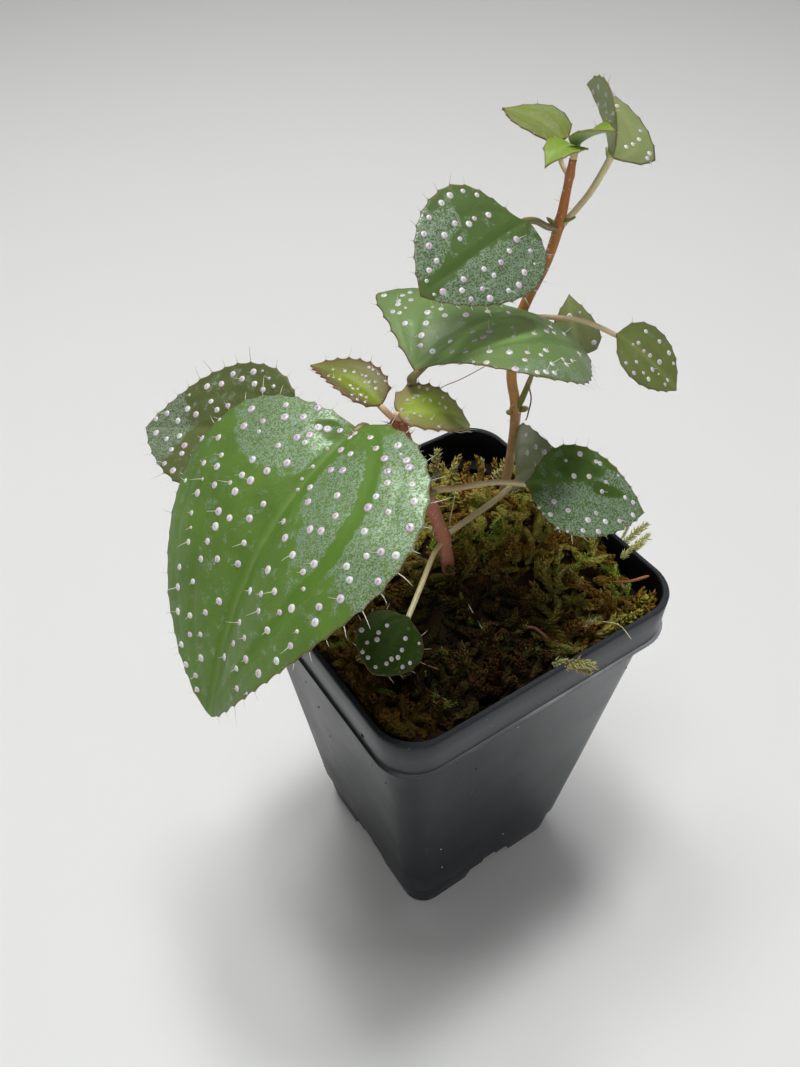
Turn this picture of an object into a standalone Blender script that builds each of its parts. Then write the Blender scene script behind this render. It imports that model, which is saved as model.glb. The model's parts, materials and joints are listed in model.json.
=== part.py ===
# Potted calvoa: two leafy stems rooted in moss in a square nursery pot.
# Metres, +Z up. The origin is the middle of the pot's underside, with the pot's sides along X and Y.
import math
import random

import bmesh
import bpy
from mathutils import Matrix, Vector, noise
from mathutils.geometry import interpolate_bezier

MM = 0.001
GAP = 0.3                   # clearance between pieces that touch, in mm like every size below

# Pot sizes
POT_HEIGHT = 89.0
RIM_SIDE = 64.0
BAND_FOOT_SIDE = 63.4
BAND_HEIGHT = 9.6
BODY_TOP_SIDE = 60.2
BASE_SIDE = 41.8
RIM_RADIUS = 7.9
BASE_RADIUS = 5.4
WALL = 1.0
FLOOR = 1.4
STEP_HEIGHT = 10.0
STEP_DEPTH = 0.35
CORNER_STEPS = 5

# Recesses between the feet, and the drain slots in them
RECESS_LENGTH = 15.0
RECESS_TOP_LENGTH = 11.0
RECESS_HEIGHT = 4.0
RECESS_DEPTH = 5.0
SLOT_WIDTH = 5.0
SLOT_LOW = 1.5
SLOT_HIGH = 3.6

# Moss: its level, its mound, the hollows at the two far corners and its lumps
MOSS_LEVEL = 86.3
MOUND_HEIGHT = 5.2
MOUND_SPREAD = 13.0
BACK_HOLLOW = 10.0
RIGHT_HOLLOW = 5.0
HOLLOW_SPREAD = 11.0
LUMP = 2.1
MOSS_CELLS = 30

# The plant is laid out as seen across the pot's front corner: right, away and up, in mm.
# This turn about Z brings that view to the pot's own sides.
PLANT_TURN = math.radians(-33.2)

# Stems: points of the centre line with the radius there
STEM_ROUTES = {
    "stem_thick": [
        ((2.0, -2.2, 78.0), 1.35),
        ((0.9, -3.0, 86.0), 1.5),
        ((-0.9, -3.1, 98.5), 1.45),
        ((-4.2, -3.3, 110.1), 1.35),
        ((-6.6, -3.6, 118.3), 1.2),
        ((-8.1, -3.9, 123.9), 1.1),
        ((-9.0, -4.0, 126.2), 1.05),
    ],
    "stem_thin": [
        ((11.6, 19.0, 76.0), 0.95),
        ((12.6, 19.2, 88.5), 0.95),
        ((13.5, 19.2, 98.8), 0.95),
        ((13.6, 19.0, 110.4), 1.0),
        ((12.2, 19.0, 119.1), 0.95),
        ((13.0, 19.0, 131.0), 0.95),
        ((16.5, 19.0, 141.1), 0.85),
        ((17.9, 19.0, 147.8), 0.85),
        ((18.5, 19.0, 153.7), 0.7),
        ((18.9, 19.0, 158.4), 0.6),
    ],
}
STEM_NODES = {
    "stem_thick": (98.5, 110.1, 118.3, 125.0),
    "stem_thin": (110.4, 130.2, 147.8, 155.9),
}
NODE_SWELL = 1.22
SIDE_SHOOT = [((13.6, 19.0, 110.6), 0.6), ((14.4, 18.0, 113.5), 0.6), ((15.3, 17.2, 118.0), 0.5),
              ((15.8, 16.9, 120.5), 0.35)]

# Each leaf: where its blade starts and ends, how far it is rolled about its midrib, and its form.
# "rise" is the midrib's arch and "early" moves it to the stalk end; "fold" raises both halves like
# a V and "unfold" lets that go towards the tip; "droop" bends the margins; "twist" turns the tip.
# "left" and "right" are half width, depth of the base lobe, place of the widest point and the
# shoulder, and "point" shapes the tip. All of these are parts of the blade's length.
LEAVES = {
    "leaf_front_large": dict(
        base=(-14.9, -12.0, 130.8), tip=(-40.3, -35.0, 90.0), roll=-3.5, rise=0.13, early=0.28,
        fold=0.34, unfold=0.0, droop=-0.74, twist=0.04, left=(0.44, 0.08, 0.24, 0.23),
        right=(0.44, 0.01, 0.29, 0.38), point=(-0.02, 0.05), rows=24, cols=7, thick=0.85,
        stem="stem_thick", node=118.3, via=[(-8.6, -7.0, 122.5), (-12.0, -10.2, 127.6)],
        stalk=0.75, dots=95, tooth=0.55, colour="leaf_green"),
    "leaf_left_back": dict(
        base=(-26.4, -2.7, 123.5), tip=(-53.4, 8.0, 116.0), roll=35.0, rise=0.03, early=0.0,
        fold=0.17, unfold=0.0, droop=-0.16, twist=0.09, left=(0.39, 0.08, 0.40, 0.34),
        right=(0.37, 0.04, 0.32, 0.26), point=(0.06, 0.08), rows=16, cols=6, thick=0.75,
        stem="stem_thick", node=110.1, via=[(-9.5, -0.6, 114.5), (-18.0, -0.6, 120.4)],
        stalk=0.6, dots=44, tooth=0.5, colour="leaf_olive"),
    "leaf_arched": dict(
        base=(-5.9, -1.5, 133.7), tip=(25.6, 15.0, 123.7), roll=3.9, rise=0.25, early=0.07,
        fold=0.57, unfold=2.0, droop=-0.61, twist=-0.06, left=(0.47, 0.01, 0.04, 0.21),
        right=(0.48, -0.04, 0.32, 0.38), point=(0.10, 0.02), rows=18, cols=6, thick=0.85,
        stem="stem_thick", node=125.0, via=[(-8.2, 0.2, 128.0), (-6.9, 0.0, 131.0)],
        stalk=0.8, dots=52, tooth=0.45, colour="leaf_green"),
    "leaf_upper_mid": dict(
        base=(11.2, 11.0, 152.5), tip=(-5.2, -5.0, 149.2), roll=40.8, rise=0.05, early=0.0,
        fold=0.04, unfold=0.0, droop=-0.21, twist=-0.02, left=(0.39, 0.03, 0.33, 0.30),
        right=(0.46, -0.03, 0.40, 0.38), point=(0.06, 0.11), rows=14, cols=5, thick=0.7,
        stem="stem_thin", node=147.8, via=[(15.2, 15.6, 149.8), (13.2, 13.2, 151.6)],
        stalk=0.5, dots=36, tooth=0.4, colour="leaf_green"),
    "leaf_lower_right": dict(
        base=(12.3, -6.0, 114.1), tip=(34.1, -5.0, 105.7), roll=-25.0, rise=0.06, early=0.0,
        fold=0.20, unfold=0.0, droop=-0.16, twist=0.0, left=(0.35, -0.06, 0.38, 0.30),
        right=(0.36, -0.05, 0.38, 0.29), point=(0.08, 0.08), rows=14, cols=5, thick=0.7,
        stem="stem_thick", node=110.1, via=[(1.6, -4.2, 111.6), (7.4, -5.2, 113.6)],
        stalk=0.48, dots=34, tooth=0.4, colour="leaf_green"),
    "leaf_back_low": dict(
        base=(14.1, 13.2, 98.1), tip=(22.0, 0.8, 112.6), roll=-58.5, rise=0.12, early=0.0,
        fold=0.19, unfold=0.0, droop=-0.20, twist=0.04, left=(0.41, 0.06, 0.26, 0.25),
        right=(0.38, 0.06, 0.30, 0.30), point=(0.11, 0.05), rows=11, cols=4, thick=0.7,
        stem="stem_thick", node=98.5, via=[(3.4, 0.6, 99.0), (9.2, 7.2, 97.8)],
        stalk=0.55, dots=16, tooth=0.4, colour="leaf_olive"),
    "leaf_top_right": dict(
        base=(24.3, 16.5, 159.7), tip=(22.1, 31.0, 165.4), roll=-49.5, rise=0.04, early=-0.15,
        fold=0.77, unfold=0.0, droop=-0.34, twist=-0.16, left=(0.42, 0.06, 0.30, 0.30),
        right=(0.43, 0.05, 0.12, 0.37), point=(0.05, 0.09), rows=9, cols=4, thick=0.8,
        stem="stem_thin", node=147.8, via=[(21.5, 17.8, 152.8), (23.0, 17.1, 156.4)],
        stalk=0.5, dots=14, tooth=0.35, colour="leaf_olive"),
    "leaf_right_small": dict(
        base=(29.5, 16.5, 128.5), tip=(41.3, 13.5, 118.3), roll=-21.5, rise=0.06, early=0.0,
        fold=0.21, unfold=0.0, droop=-0.26, twist=0.07, left=(0.36, -0.03, 0.41, 0.35),
        right=(0.38, -0.04, 0.38, 0.30), point=(0.08, 0.07), rows=9, cols=4, thick=0.7,
        stem="stem_thin", node=130.2, via=[(17.0, 18.4, 130.9), (23.6, 17.4, 130.6)],
        stalk=0.42, dots=16, tooth=0.35, colour="leaf_green"),
    "leaf_back_right": dict(
        base=(24.6, 22.4, 121.0), tip=(22.6, 27.2, 130.2), roll=29.0, rise=0.08, early=0.0,
        fold=0.24, unfold=0.0, droop=-0.19, twist=0.0, left=(0.40, 0.06, 0.30, 0.30),
        right=(0.42, 0.08, 0.25, 0.28), point=(0.11, 0.06), rows=7, cols=3, thick=0.65,
        stem="stem_thin", node=128.6, via=[(17.4, 20.8, 124.2), (21.6, 21.8, 119.0), (24.2, 22.3, 118.8)],
        stalk=0.4, dots=6, tooth=0.3, colour="leaf_olive"),
    "leaf_lower_round": dict(
        base=(-7.4, -21.0, 97.5), tip=(-13.6, -31.0, 95.1), roll=31.3, rise=-0.02, early=0.0,
        fold=-0.10, unfold=0.0, droop=-0.30, twist=0.1, left=(0.50, -0.04, 0.38, 0.33),
        right=(0.50, -0.03, 0.42, 0.37), point=(0.02, 0.10), rows=8, cols=4, thick=0.65,
        stem="stem_thick", node=98.0, via=[(-2.8, -7.6, 98.6), (-4.8, -14.0, 98.9)],
        stalk=0.45, dots=14, tooth=0.3, colour="leaf_green"),
    "leaf_young_left": dict(
        base=(-11.3, -4.4, 129.6), tip=(-23.0, 5.0, 130.7), roll=-2.0, rise=0.10, early=0.08,
        fold=0.32, unfold=0.0, droop=-0.18, twist=0.0, left=(0.29, 0.0, 0.28, 0.30),
        right=(0.29, 0.0, 0.33, 0.29), point=(0.10, 0.06), rows=10, cols=3, thick=0.65,
        start=(-9.75, -4.15, 126.95), via=[],
        stalk=0.5, dots=14, tooth=0.5, colour="leaf_young"),
    "leaf_young_right": dict(
        base=(-7.7, -5.9, 129.0), tip=(3.3, 1.5, 120.5), roll=-23.3, rise=0.11, early=0.03,
        fold=0.30, unfold=0.0, droop=-0.20, twist=0.01, left=(0.27, 0.01, 0.34, 0.30),
        right=(0.28, 0.02, 0.36, 0.32), point=(0.09, 0.07), rows=10, cols=3, thick=0.65,
        start=(-8.25, -4.4, 126.9), via=[],
        stalk=0.5, dots=14, tooth=0.5, colour="leaf_young"),
    "leaf_top_left": dict(
        base=(17.4, 21.9, 160.2), tip=(8.5, 28.6, 162.6), roll=1.0, rise=0.06, early=0.11,
        fold=0.23, unfold=0.0, droop=-0.11, twist=-0.05, left=(0.40, 0.05, 0.40, 0.35),
        right=(0.40, 0.04, 0.36, 0.23), point=(0.11, 0.05), rows=7, cols=3, thick=0.65,
        stem="stem_thin", node=155.4, via=[(17.5, 21.4, 157.0), (17.4, 21.9, 158.5)],
        stalk=0.36, dots=8, tooth=0.3, colour="leaf_young"),
}

# The three unopened leaves of the growing tip, fused on one short shoot
TIP_SHOOT = [((18.95, 19.0, 159.1), 0.6), ((19.0, 18.7, 160.3), 0.65), ((19.3, 18.4, 161.5), 0.5)]
TIP_LEAVES = [
    dict(base=(19.0, 18.5, 160.4), tip=(13.7, 13.2, 159.7), roll=0.0, rise=0.15, early=0.0,
         fold=0.25, unfold=0.0, droop=-0.18, twist=-0.04, left=(0.39, 0.07, 0.30, 0.30),
         right=(0.39, 0.10, 0.32, 0.31), point=(0.10, 0.06), rows=5, cols=2, thick=0.6,
         dots=0, tooth=0.3),
    dict(base=(19.4, 18.3, 161.1), tip=(23.5, 13.5, 164.8), roll=1.0, rise=0.09, early=0.1,
         fold=0.38, unfold=0.0, droop=-0.09, twist=-0.02, left=(0.41, 0.04, 0.33, 0.27),
         right=(0.40, 0.05, 0.31, 0.30), point=(0.11, 0.05), rows=5, cols=2, thick=0.6,
         dots=0, tooth=0.3),
]
DOT_RISE = 0.3
DOT_LEAST = 0.34            # a quarter of the side of the smallest cell that carries a dot
STALK_TAPER = 0.7

COLOURS = {
    "pot_plastic": ((0.020, 0.021, 0.024, 1.0), 0.42),
    "moss": ((0.190, 0.165, 0.045, 1.0), 0.95),
    "stem_rose": ((0.280, 0.085, 0.070, 1.0), 0.55),
    "stem_brown": ((0.260, 0.090, 0.035, 1.0), 0.55),
    "leaf_green": ((0.050, 0.140, 0.035, 1.0), 0.45),
    "leaf_olive": ((0.060, 0.115, 0.050, 1.0), 0.50),
    "leaf_young": ((0.130, 0.180, 0.040, 1.0), 0.45),
}


def clear_scene():
    for obj in list(bpy.data.objects):
        bpy.data.objects.remove(obj, do_unlink=True)


def make_collection(name, hidden=False):
    group = bpy.data.collections.new(name)
    bpy.context.scene.collection.children.link(group)
    group.hide_render = hidden
    return group


def make_material(name):
    colour, roughness = COLOURS[name]
    material = bpy.data.materials.new(name)
    material.use_nodes = True
    shader = material.node_tree.nodes["Principled BSDF"]
    shader.inputs["Base Color"].default_value = colour
    shader.inputs["Roughness"].default_value = roughness
    material.diffuse_color = colour
    return material


def add_object(name, mesh, group, material=None):
    obj = bpy.data.objects.new(name, mesh)
    group.objects.link(obj)
    if material:
        mesh.materials.clear()
        mesh.materials.append(material)
    return obj


def mesh_from(name, points, faces):
    """A mesh from points in mm, with its faces turned outward."""
    bm = bmesh.new()
    verts = [bm.verts.new(Vector(p) * MM) for p in points]
    for face in faces:
        bm.faces.new([verts[i] for i in face])
    bmesh.ops.recalc_face_normals(bm, faces=bm.faces)
    mesh = bpy.data.meshes.new(name)
    bm.to_mesh(mesh)
    bm.free()
    return mesh


def square_ring(side, radius, height):
    """A level square with rounded corners."""
    half = side / 2 - radius
    points = []
    for corner in range(4):
        start = corner * math.pi / 2
        centre = Vector((half, half, 0)) if corner == 0 else None
        if corner == 1:
            centre = Vector((-half, half, 0))
        if corner == 2:
            centre = Vector((-half, -half, 0))
        if corner == 3:
            centre = Vector((half, -half, 0))
        for step in range(CORNER_STEPS + 1):
            angle = start + step * math.pi / 2 / CORNER_STEPS
            offset = Vector((math.cos(angle), math.sin(angle), 0)) * radius
            points.append(centre + offset + Vector((0, 0, height)))
    return points


def loft(name, rings):
    """A closed solid through level rings with the same number of points."""
    count = len(rings[0])
    points = [p for ring in rings for p in ring]
    faces = [list(range(count))[::-1]]
    for level in range(len(rings) - 1):
        low = level * count
        for i in range(count):
            j = (i + 1) % count
            faces.append((low + i, low + j, low + count + j, low + count + i))
    top = (len(rings) - 1) * count
    faces.append([top + i for i in range(count)])
    return mesh_from(name, points, faces)


def combine(obj, cutter, operation):
    """One Boolean, applied, with the cutter removed."""
    modifier = obj.modifiers.new("cut", "BOOLEAN")
    modifier.operation = operation
    modifier.solver = "EXACT"
    modifier.object = cutter
    settle(obj)
    bpy.data.objects.remove(cutter, do_unlink=True)


def settle(obj):
    """Puts the result of an object's modifiers in its mesh."""
    bpy.context.view_layer.update()
    graph = bpy.context.evaluated_depsgraph_get()
    mesh = bpy.data.meshes.new_from_object(obj.evaluated_get(graph))
    obj.modifiers.clear()
    obj.data = mesh


def tidy(obj):
    """Welds stray doubles and splits every face into triangles."""
    bm = bmesh.new()
    bm.from_mesh(obj.data)
    bmesh.ops.remove_doubles(bm, verts=bm.verts, dist=0.000004)
    bmesh.ops.dissolve_degenerate(bm, edges=bm.edges, dist=0.000002)
    bmesh.ops.triangulate(bm, faces=bm.faces)
    bmesh.ops.recalc_face_normals(bm, faces=bm.faces)
    bm.to_mesh(obj.data)
    bm.free()


# Pot

def body_side(height):
    """Outer side of the tapered wall at a height."""
    share = height / (POT_HEIGHT - BAND_HEIGHT)
    return BASE_SIDE + (BODY_TOP_SIDE - BASE_SIDE) * share


def corner_radius(height):
    return BASE_RADIUS + (RIM_RADIUS - BASE_RADIUS) * height / POT_HEIGHT


def outer_rings():
    band = POT_HEIGHT - BAND_HEIGHT
    low = STEP_HEIGHT
    spec = [
        (0.0, BASE_SIDE - 2 * STEP_DEPTH - 0.8),
        (0.4, BASE_SIDE - 2 * STEP_DEPTH),
        (low - 0.5, body_side(low) - 2 * STEP_DEPTH),
        (low, body_side(low)),
        (band - 0.4, BODY_TOP_SIDE),
        (band, BAND_FOOT_SIDE - 0.3),
        (band + 0.5, BAND_FOOT_SIDE),
        (POT_HEIGHT - 0.5, RIM_SIDE),
        (POT_HEIGHT, RIM_SIDE - 0.7),
    ]
    return [square_ring(side, corner_radius(z), z) for z, side in spec]


def inner_rings(inset, top):
    """The pot's hollow, or what fills it when it is inset."""
    band = POT_HEIGHT - BAND_HEIGHT
    less = 2 * WALL + 2 * inset
    spec = [
        (FLOOR + inset, body_side(FLOOR) - less - 0.7),
        (band + 0.6, BODY_TOP_SIDE - less + 0.1),
        (band + 1.6, BAND_FOOT_SIDE - less - 0.2),
        (top, RIM_SIDE - less - 0.1),
    ]
    return [square_ring(side, corner_radius(z) - WALL - inset, z) for z, side in spec]


def recess_wedges(grow, group):
    """Four wedges between the feet, as one object."""
    points = []
    faces = []
    reach = BASE_SIDE / 2 - RECESS_DEPTH
    for turn in range(4):
        spin = Matrix.Rotation(turn * math.pi / 2, 3, "Z")
        low = RECESS_LENGTH / 2 + grow
        high = RECESS_TOP_LENGTH / 2 + grow
        near = reach - grow
        far = BASE_SIDE / 2 + 6
        start = len(points)
        for z, half in ((-2.0, low), (RECESS_HEIGHT + grow, high)):
            for x, y in ((-half, near), (half, near), (half, far), (-half, far)):
                points.append(spin @ Vector((x, y, z)))
        for face in ((3, 2, 1, 0), (4, 5, 6, 7), (0, 1, 5, 4), (1, 2, 6, 5), (2, 3, 7, 6), (3, 0, 4, 7)):
            faces.append([start + i for i in face])
    return add_object("recess", mesh_from("recess", points, faces), group)


def drain_slots(group):
    points = []
    faces = []
    reach = BASE_SIDE / 2 - RECESS_DEPTH
    for turn in range(4):
        spin = Matrix.Rotation(turn * math.pi / 2, 3, "Z")
        half = SLOT_WIDTH / 2
        start = len(points)
        for z in (SLOT_LOW, SLOT_HIGH):
            for x, y in ((-half, reach - 3), (half, reach - 3), (half, reach + 1), (-half, reach + 1)):
                points.append(spin @ Vector((x, y, z)))
        for face in ((3, 2, 1, 0), (4, 5, 6, 7), (0, 1, 5, 4), (1, 2, 6, 5), (2, 3, 7, 6), (3, 0, 4, 7)):
            faces.append([start + i for i in face])
    return add_object("slots", mesh_from("slots", points, faces), group)


def build_pot(parts, cutters):
    pot = add_object("pot", loft("pot", outer_rings()), parts, make_material("pot_plastic"))
    hollow = add_object("hollow", loft("hollow", inner_rings(0.0, POT_HEIGHT + 3)), cutters)
    combine(hollow, recess_wedges(WALL, cutters), "DIFFERENCE")
    combine(pot, hollow, "DIFFERENCE")
    combine(pot, recess_wedges(0.0, cutters), "DIFFERENCE")
    combine(pot, drain_slots(cutters), "DIFFERENCE")
    tidy(pot)


# Plant layout

def plant(point):
    """From right, away and up to the pot's own axes, in mm."""
    return Matrix.Rotation(PLANT_TURN, 3, "Z") @ Vector(point)


def smooth_route(points, steps):
    """Even curve through points given with a radius, as a list of point and radius."""
    values = [Vector((*p, r)) for p, r in points]
    ends = [values[0] * 2 - values[1]] + values + [values[-1] * 2 - values[-2]]
    out = []
    for i in range(1, len(ends) - 2):
        a, b, c, d = ends[i - 1:i + 3]
        for step in range(steps):
            t = step / steps
            out.append(0.5 * (2 * b + (c - a) * t + (2 * a - 5 * b + 4 * c - d) * t ** 2
                              + (3 * b - a - 3 * c + d) * t ** 3))
    out.append(values[-1])
    return [(Vector(v[:3]), v[3]) for v in out]


def tube(name, route, group, material, resolution, extra=0.0):
    """A round rod along a route in mm, as a mesh object."""
    curve = bpy.data.curves.new(name, "CURVE")
    curve.dimensions = "3D"
    curve.bevel_depth = MM
    curve.bevel_resolution = resolution
    curve.use_fill_caps = True
    curve.twist_mode = "MINIMUM"
    spline = curve.splines.new("POLY")
    spline.points.add(len(route) - 1)
    for point, (place, radius) in zip(spline.points, route):
        point.co = (*(place * MM), 1.0)
        point.radius = radius + extra
    holder = add_object(name, curve, group)
    bpy.context.view_layer.update()
    graph = bpy.context.evaluated_depsgraph_get()
    mesh = bpy.data.meshes.new_from_object(holder.evaluated_get(graph))
    bpy.data.objects.remove(holder, do_unlink=True)
    obj = add_object(name, mesh, group, material)
    bm = bmesh.new()
    bm.from_mesh(mesh)
    bmesh.ops.remove_doubles(bm, verts=bm.verts, dist=0.00001)
    bmesh.ops.recalc_face_normals(bm, faces=bm.faces)
    bm.to_mesh(mesh)
    bm.free()
    return obj


def stem_line(name):
    """A stem's smooth centre line with the swellings at its nodes."""
    line = []
    for place, radius in smooth_route(STEM_ROUTES[name], 3):
        near = min(abs(place.z - z) for z in STEM_NODES[name])
        swell = 1 + (NODE_SWELL - 1) * max(0.0, 1 - near / 1.6)
        line.append((plant(place), radius * swell))
    return line


def stem_at(name, height):
    """Point, direction and radius of a stem at a height."""
    line = stem_line(name)
    for (a, ra), (b, rb) in zip(line, line[1:]):
        if a.z <= height <= b.z:
            t = (height - a.z) / (b.z - a.z)
            return a.lerp(b, t), (b - a).normalized(), max(ra, rb)
    end, radius = line[-1]
    return end, (end - line[-2][0]).normalized(), radius


def build_stems(parts):
    rose = make_material("stem_rose")
    brown = make_material("stem_brown")
    thick = tube("stem_thick", stem_line("stem_thick"), parts, rose, 2)
    tidy(thick)
    thin = tube("stem_thin", stem_line("stem_thin"), parts, brown, 2)
    shoot = [(plant(place), radius) for place, radius in smooth_route(SIDE_SHOOT, 2)]
    combine(thin, tube("shoot", shoot, parts, brown, 1), "UNION")
    tidy(thin)


# Moss

def moss_height(x, y):
    """Height of the moss at a place in mm, with its mound, hollows and lumps."""
    seat = Matrix.Rotation(-PLANT_TURN, 3, "Z") @ Vector((x, y, 0))
    mound = math.exp(-((seat.x - 9) ** 2 + (seat.y - 2) ** 2) / (2 * MOUND_SPREAD ** 2))
    back = math.exp(-((seat.x - 6) ** 2 + (seat.y - 42) ** 2) / (2 * HOLLOW_SPREAD ** 2))
    right = math.exp(-((seat.x - 42) ** 2 + (seat.y + 6) ** 2) / (2 * HOLLOW_SPREAD ** 2))
    level = MOSS_LEVEL + MOUND_HEIGHT * mound - BACK_HOLLOW * back - RIGHT_HOLLOW * right
    coarse = noise.noise(Vector((x / 7.5, y / 7.5, 3.1)))
    fine = noise.noise(Vector((x / 3.1, y / 3.1, 8.7)))
    return level + LUMP * coarse + 0.75 * LUMP * fine


def moss_relief(group):
    """A block whose top is the moss's lumpy surface."""
    span = RIM_SIDE + 4
    step = span / MOSS_CELLS
    count = MOSS_CELLS + 1
    points = []
    for j in range(count):
        for i in range(count):
            x = -span / 2 + i * step
            y = -span / 2 + j * step
            points.append((x, y, moss_height(x, y)))
    faces = []
    for j in range(MOSS_CELLS):
        for i in range(MOSS_CELLS):
            a = j * count + i
            b, c, d = a + 1, a + count + 1, a + count
            split = ((a, b, c), (a, c, d)) if (i + j) % 2 else ((a, b, d), (b, c, d))
            faces.extend(split)
    edge = [i for i in range(count)]
    edge += [j * count + MOSS_CELLS for j in range(1, count)]
    edge += [MOSS_CELLS * count + i for i in range(MOSS_CELLS - 1, -1, -1)]
    edge += [j * count for j in range(MOSS_CELLS - 1, 0, -1)]
    first = len(points)
    for k in edge:
        points.append((points[k][0], points[k][1], -5.0))
    total = len(edge)
    for k in range(total):
        n = (k + 1) % total
        faces.append((edge[k], first + k, first + n, edge[n]))
    faces.append([first + k for k in range(total)])
    return add_object("relief", mesh_from("relief", points, faces), group)


def build_moss(parts, cutters):
    moss = add_object("moss_bed", loft("moss_bed", inner_rings(GAP, 100.0)), parts, make_material("moss"))
    combine(moss, recess_wedges(WALL + GAP, cutters), "DIFFERENCE")
    combine(moss, moss_relief(cutters), "INTERSECT")
    for name in STEM_ROUTES:
        line = stem_line(name)
        below = line[0][0] + (line[0][0] - line[1][0]).normalized() * GAP
        hole = [(below, line[0][1])] + line[1:10]
        combine(moss, tube("hole", hole, cutters, None, 2, GAP), "DIFFERENCE")
    tidy(moss)


# Leaves

def even_points(points, count):
    """The same line with equal steps."""
    lengths = [0.0]
    for a, b in zip(points, points[1:]):
        lengths.append(lengths[-1] + (b - a).length)
    out = []
    k = 0
    for i in range(count + 1):
        want = lengths[-1] * i / count
        while k < len(points) - 2 and lengths[k + 1] < want:
            k += 1
        span = max(lengths[k + 1] - lengths[k], 1e-9)
        out.append(points[k].lerp(points[k + 1], (want - lengths[k]) / span))
    return out


def margin(side, point, rows):
    """One half of the blade's edge from the stalk round the base lobe to the tip."""
    half, lobe, widest, shoulder = side
    back, close = point
    first = interpolate_bezier(Vector((0, 0)), Vector((-1.33 * lobe, 0.12 * half)),
                               Vector((-1.33 * lobe, half)), Vector((widest, half)), 24)
    second = interpolate_bezier(Vector((widest, half)), Vector((widest + shoulder, half)),
                                Vector((1 - back, close)), Vector((1, 0)), 24)
    return even_points([p.to_2d() for p in first] + [p.to_2d() for p in second[1:]], rows)


def blade_height(leaf, u, v):
    """Height of the blade over the flat between stalk and tip."""
    arch = leaf["rise"] * 4 * u * (1 - u) * (1 + leaf["early"] * (1 - 2 * u))
    fold = leaf["fold"] * abs(v) * (1 - leaf["unfold"] * u)
    return arch + fold + leaf["droop"] * v * v + leaf["twist"] * u * v


def blade_axes(leaf):
    """Stalk end, length, and the directions along, to the right and up from the blade."""
    base = Vector(leaf["base"])
    along = Vector(leaf["tip"]) - base
    length = along.length
    along.normalize()
    right = along.cross(Vector((0, 0, 1))).normalized()
    up = right.cross(along)
    roll = math.radians(leaf["roll"])
    right = right * math.cos(roll) + up * math.sin(roll)
    return base, length, along, right, right.cross(along)


def on_blade(leaf, u, v, lift):
    base, length, along, right, up = blade_axes(leaf)
    flat = base + length * (u * along - v * right + blade_height(leaf, u, v) * up)
    return plant(flat + up * lift)


def pick_dots(leaf, seed):
    """Cells of the blade that carry a dot, never two side by side."""
    rows, cols = leaf["rows"], leaf["cols"]
    cells = [(s, i, j) for s in (1, -1) for i in range(1, rows - 1) for j in range(0, cols - 1)]
    random.Random(seed).shuffle(cells)
    chosen = set()
    for s, i, j in cells:
        near = [(s, i + a, j + b) for a in (-1, 0, 1) for b in (-1, 0, 1)]
        if j == 0:
            near += [(-s, i + a, 0) for a in (-1, 0, 1)]
        if len(chosen) < leaf["dots"] and not chosen.intersection(near):
            chosen.add((s, i, j))
    return chosen


def blade_grid(leaf):
    """Points of the blade in its own plane, its triangles, its dot cells and its edge."""
    rows, cols = leaf["rows"], leaf["cols"]
    dots = pick_dots(leaf, rows * 31 + cols)
    points = []
    known = {}

    def index(p):
        key = (round(p.x, 5), round(p.y, 5))
        if key not in known:
            known[key] = len(points)
            points.append(p)
        return known[key]

    faces = []
    edge = {1: [], -1: []}
    for s, side in ((1, "left"), (-1, "right")):
        rim = [Vector((p.x, p.y * s)) for p in margin(leaf[side], leaf["point"], rows)]
        grid = []
        for i in range(rows + 1):
            middle = Vector(((i / rows) ** 1.15, 0))
            grid.append([index(middle.lerp(rim[i], j / cols)) for j in range(cols + 1)])
        for i in range(rows):
            run = rim[i + 1] - rim[i]
            out = Vector((-run.y, run.x)).normalized() * s
            teeth = leaf["tooth"] / blade_axes(leaf)[1]
            tooth = rim[i].lerp(rim[i + 1], 0.62) + out * teeth
            tip = index(tooth) if 0 < i < rows - 1 else None
            edge[s].append(grid[i][cols])
            if tip is not None:
                edge[s].append(tip)
            for j in range(cols):
                a, b, c, d = grid[i][j], grid[i + 1][j], grid[i + 1][j + 1], grid[i][j + 1]
                shape = [a, b, c] + ([tip] if tip is not None and j == cols - 1 else []) + [d]
                shape = list(dict.fromkeys(shape))
                if s < 0:
                    shape.reverse()
                faces.append((shape, (s, i, j) in dots and len(shape) == 4, s))
    loop = edge[1] + [index(Vector((1, 0)))] + edge[-1][:0:-1]
    return points, faces, loop


def fan(shape, points):
    """Splits a flat outline into triangles, clipping ears in the blade's plane."""
    ring = list(shape)
    out = []
    while len(ring) > 3:
        best = None
        for k in range(len(ring)):
            a, b, c = ring[k - 1], ring[k], ring[(k + 1) % len(ring)]
            pa, pb, pc = points[a], points[b], points[c]
            area = (pb - pa).cross(pc - pa)
            longest = max((pb - pa).length, (pc - pb).length, (pa - pc).length)
            score = area / (longest ** 2 + 1e-12)
            inside = any((pb - pa).cross(points[q] - pa) > 0 and (pc - pb).cross(points[q] - pb) > 0
                         and (pa - pc).cross(points[q] - pc) > 0 for q in ring if q not in (a, b, c))
            if area > 1e-9 and not inside and (best is None or score > best[0]):
                best = (score, k)
        k = best[1] if best else 0
        out.append((ring[k - 1], ring[k], ring[(k + 1) % len(ring)]))
        ring.pop(k)
    out.append(tuple(ring))
    return out


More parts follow.
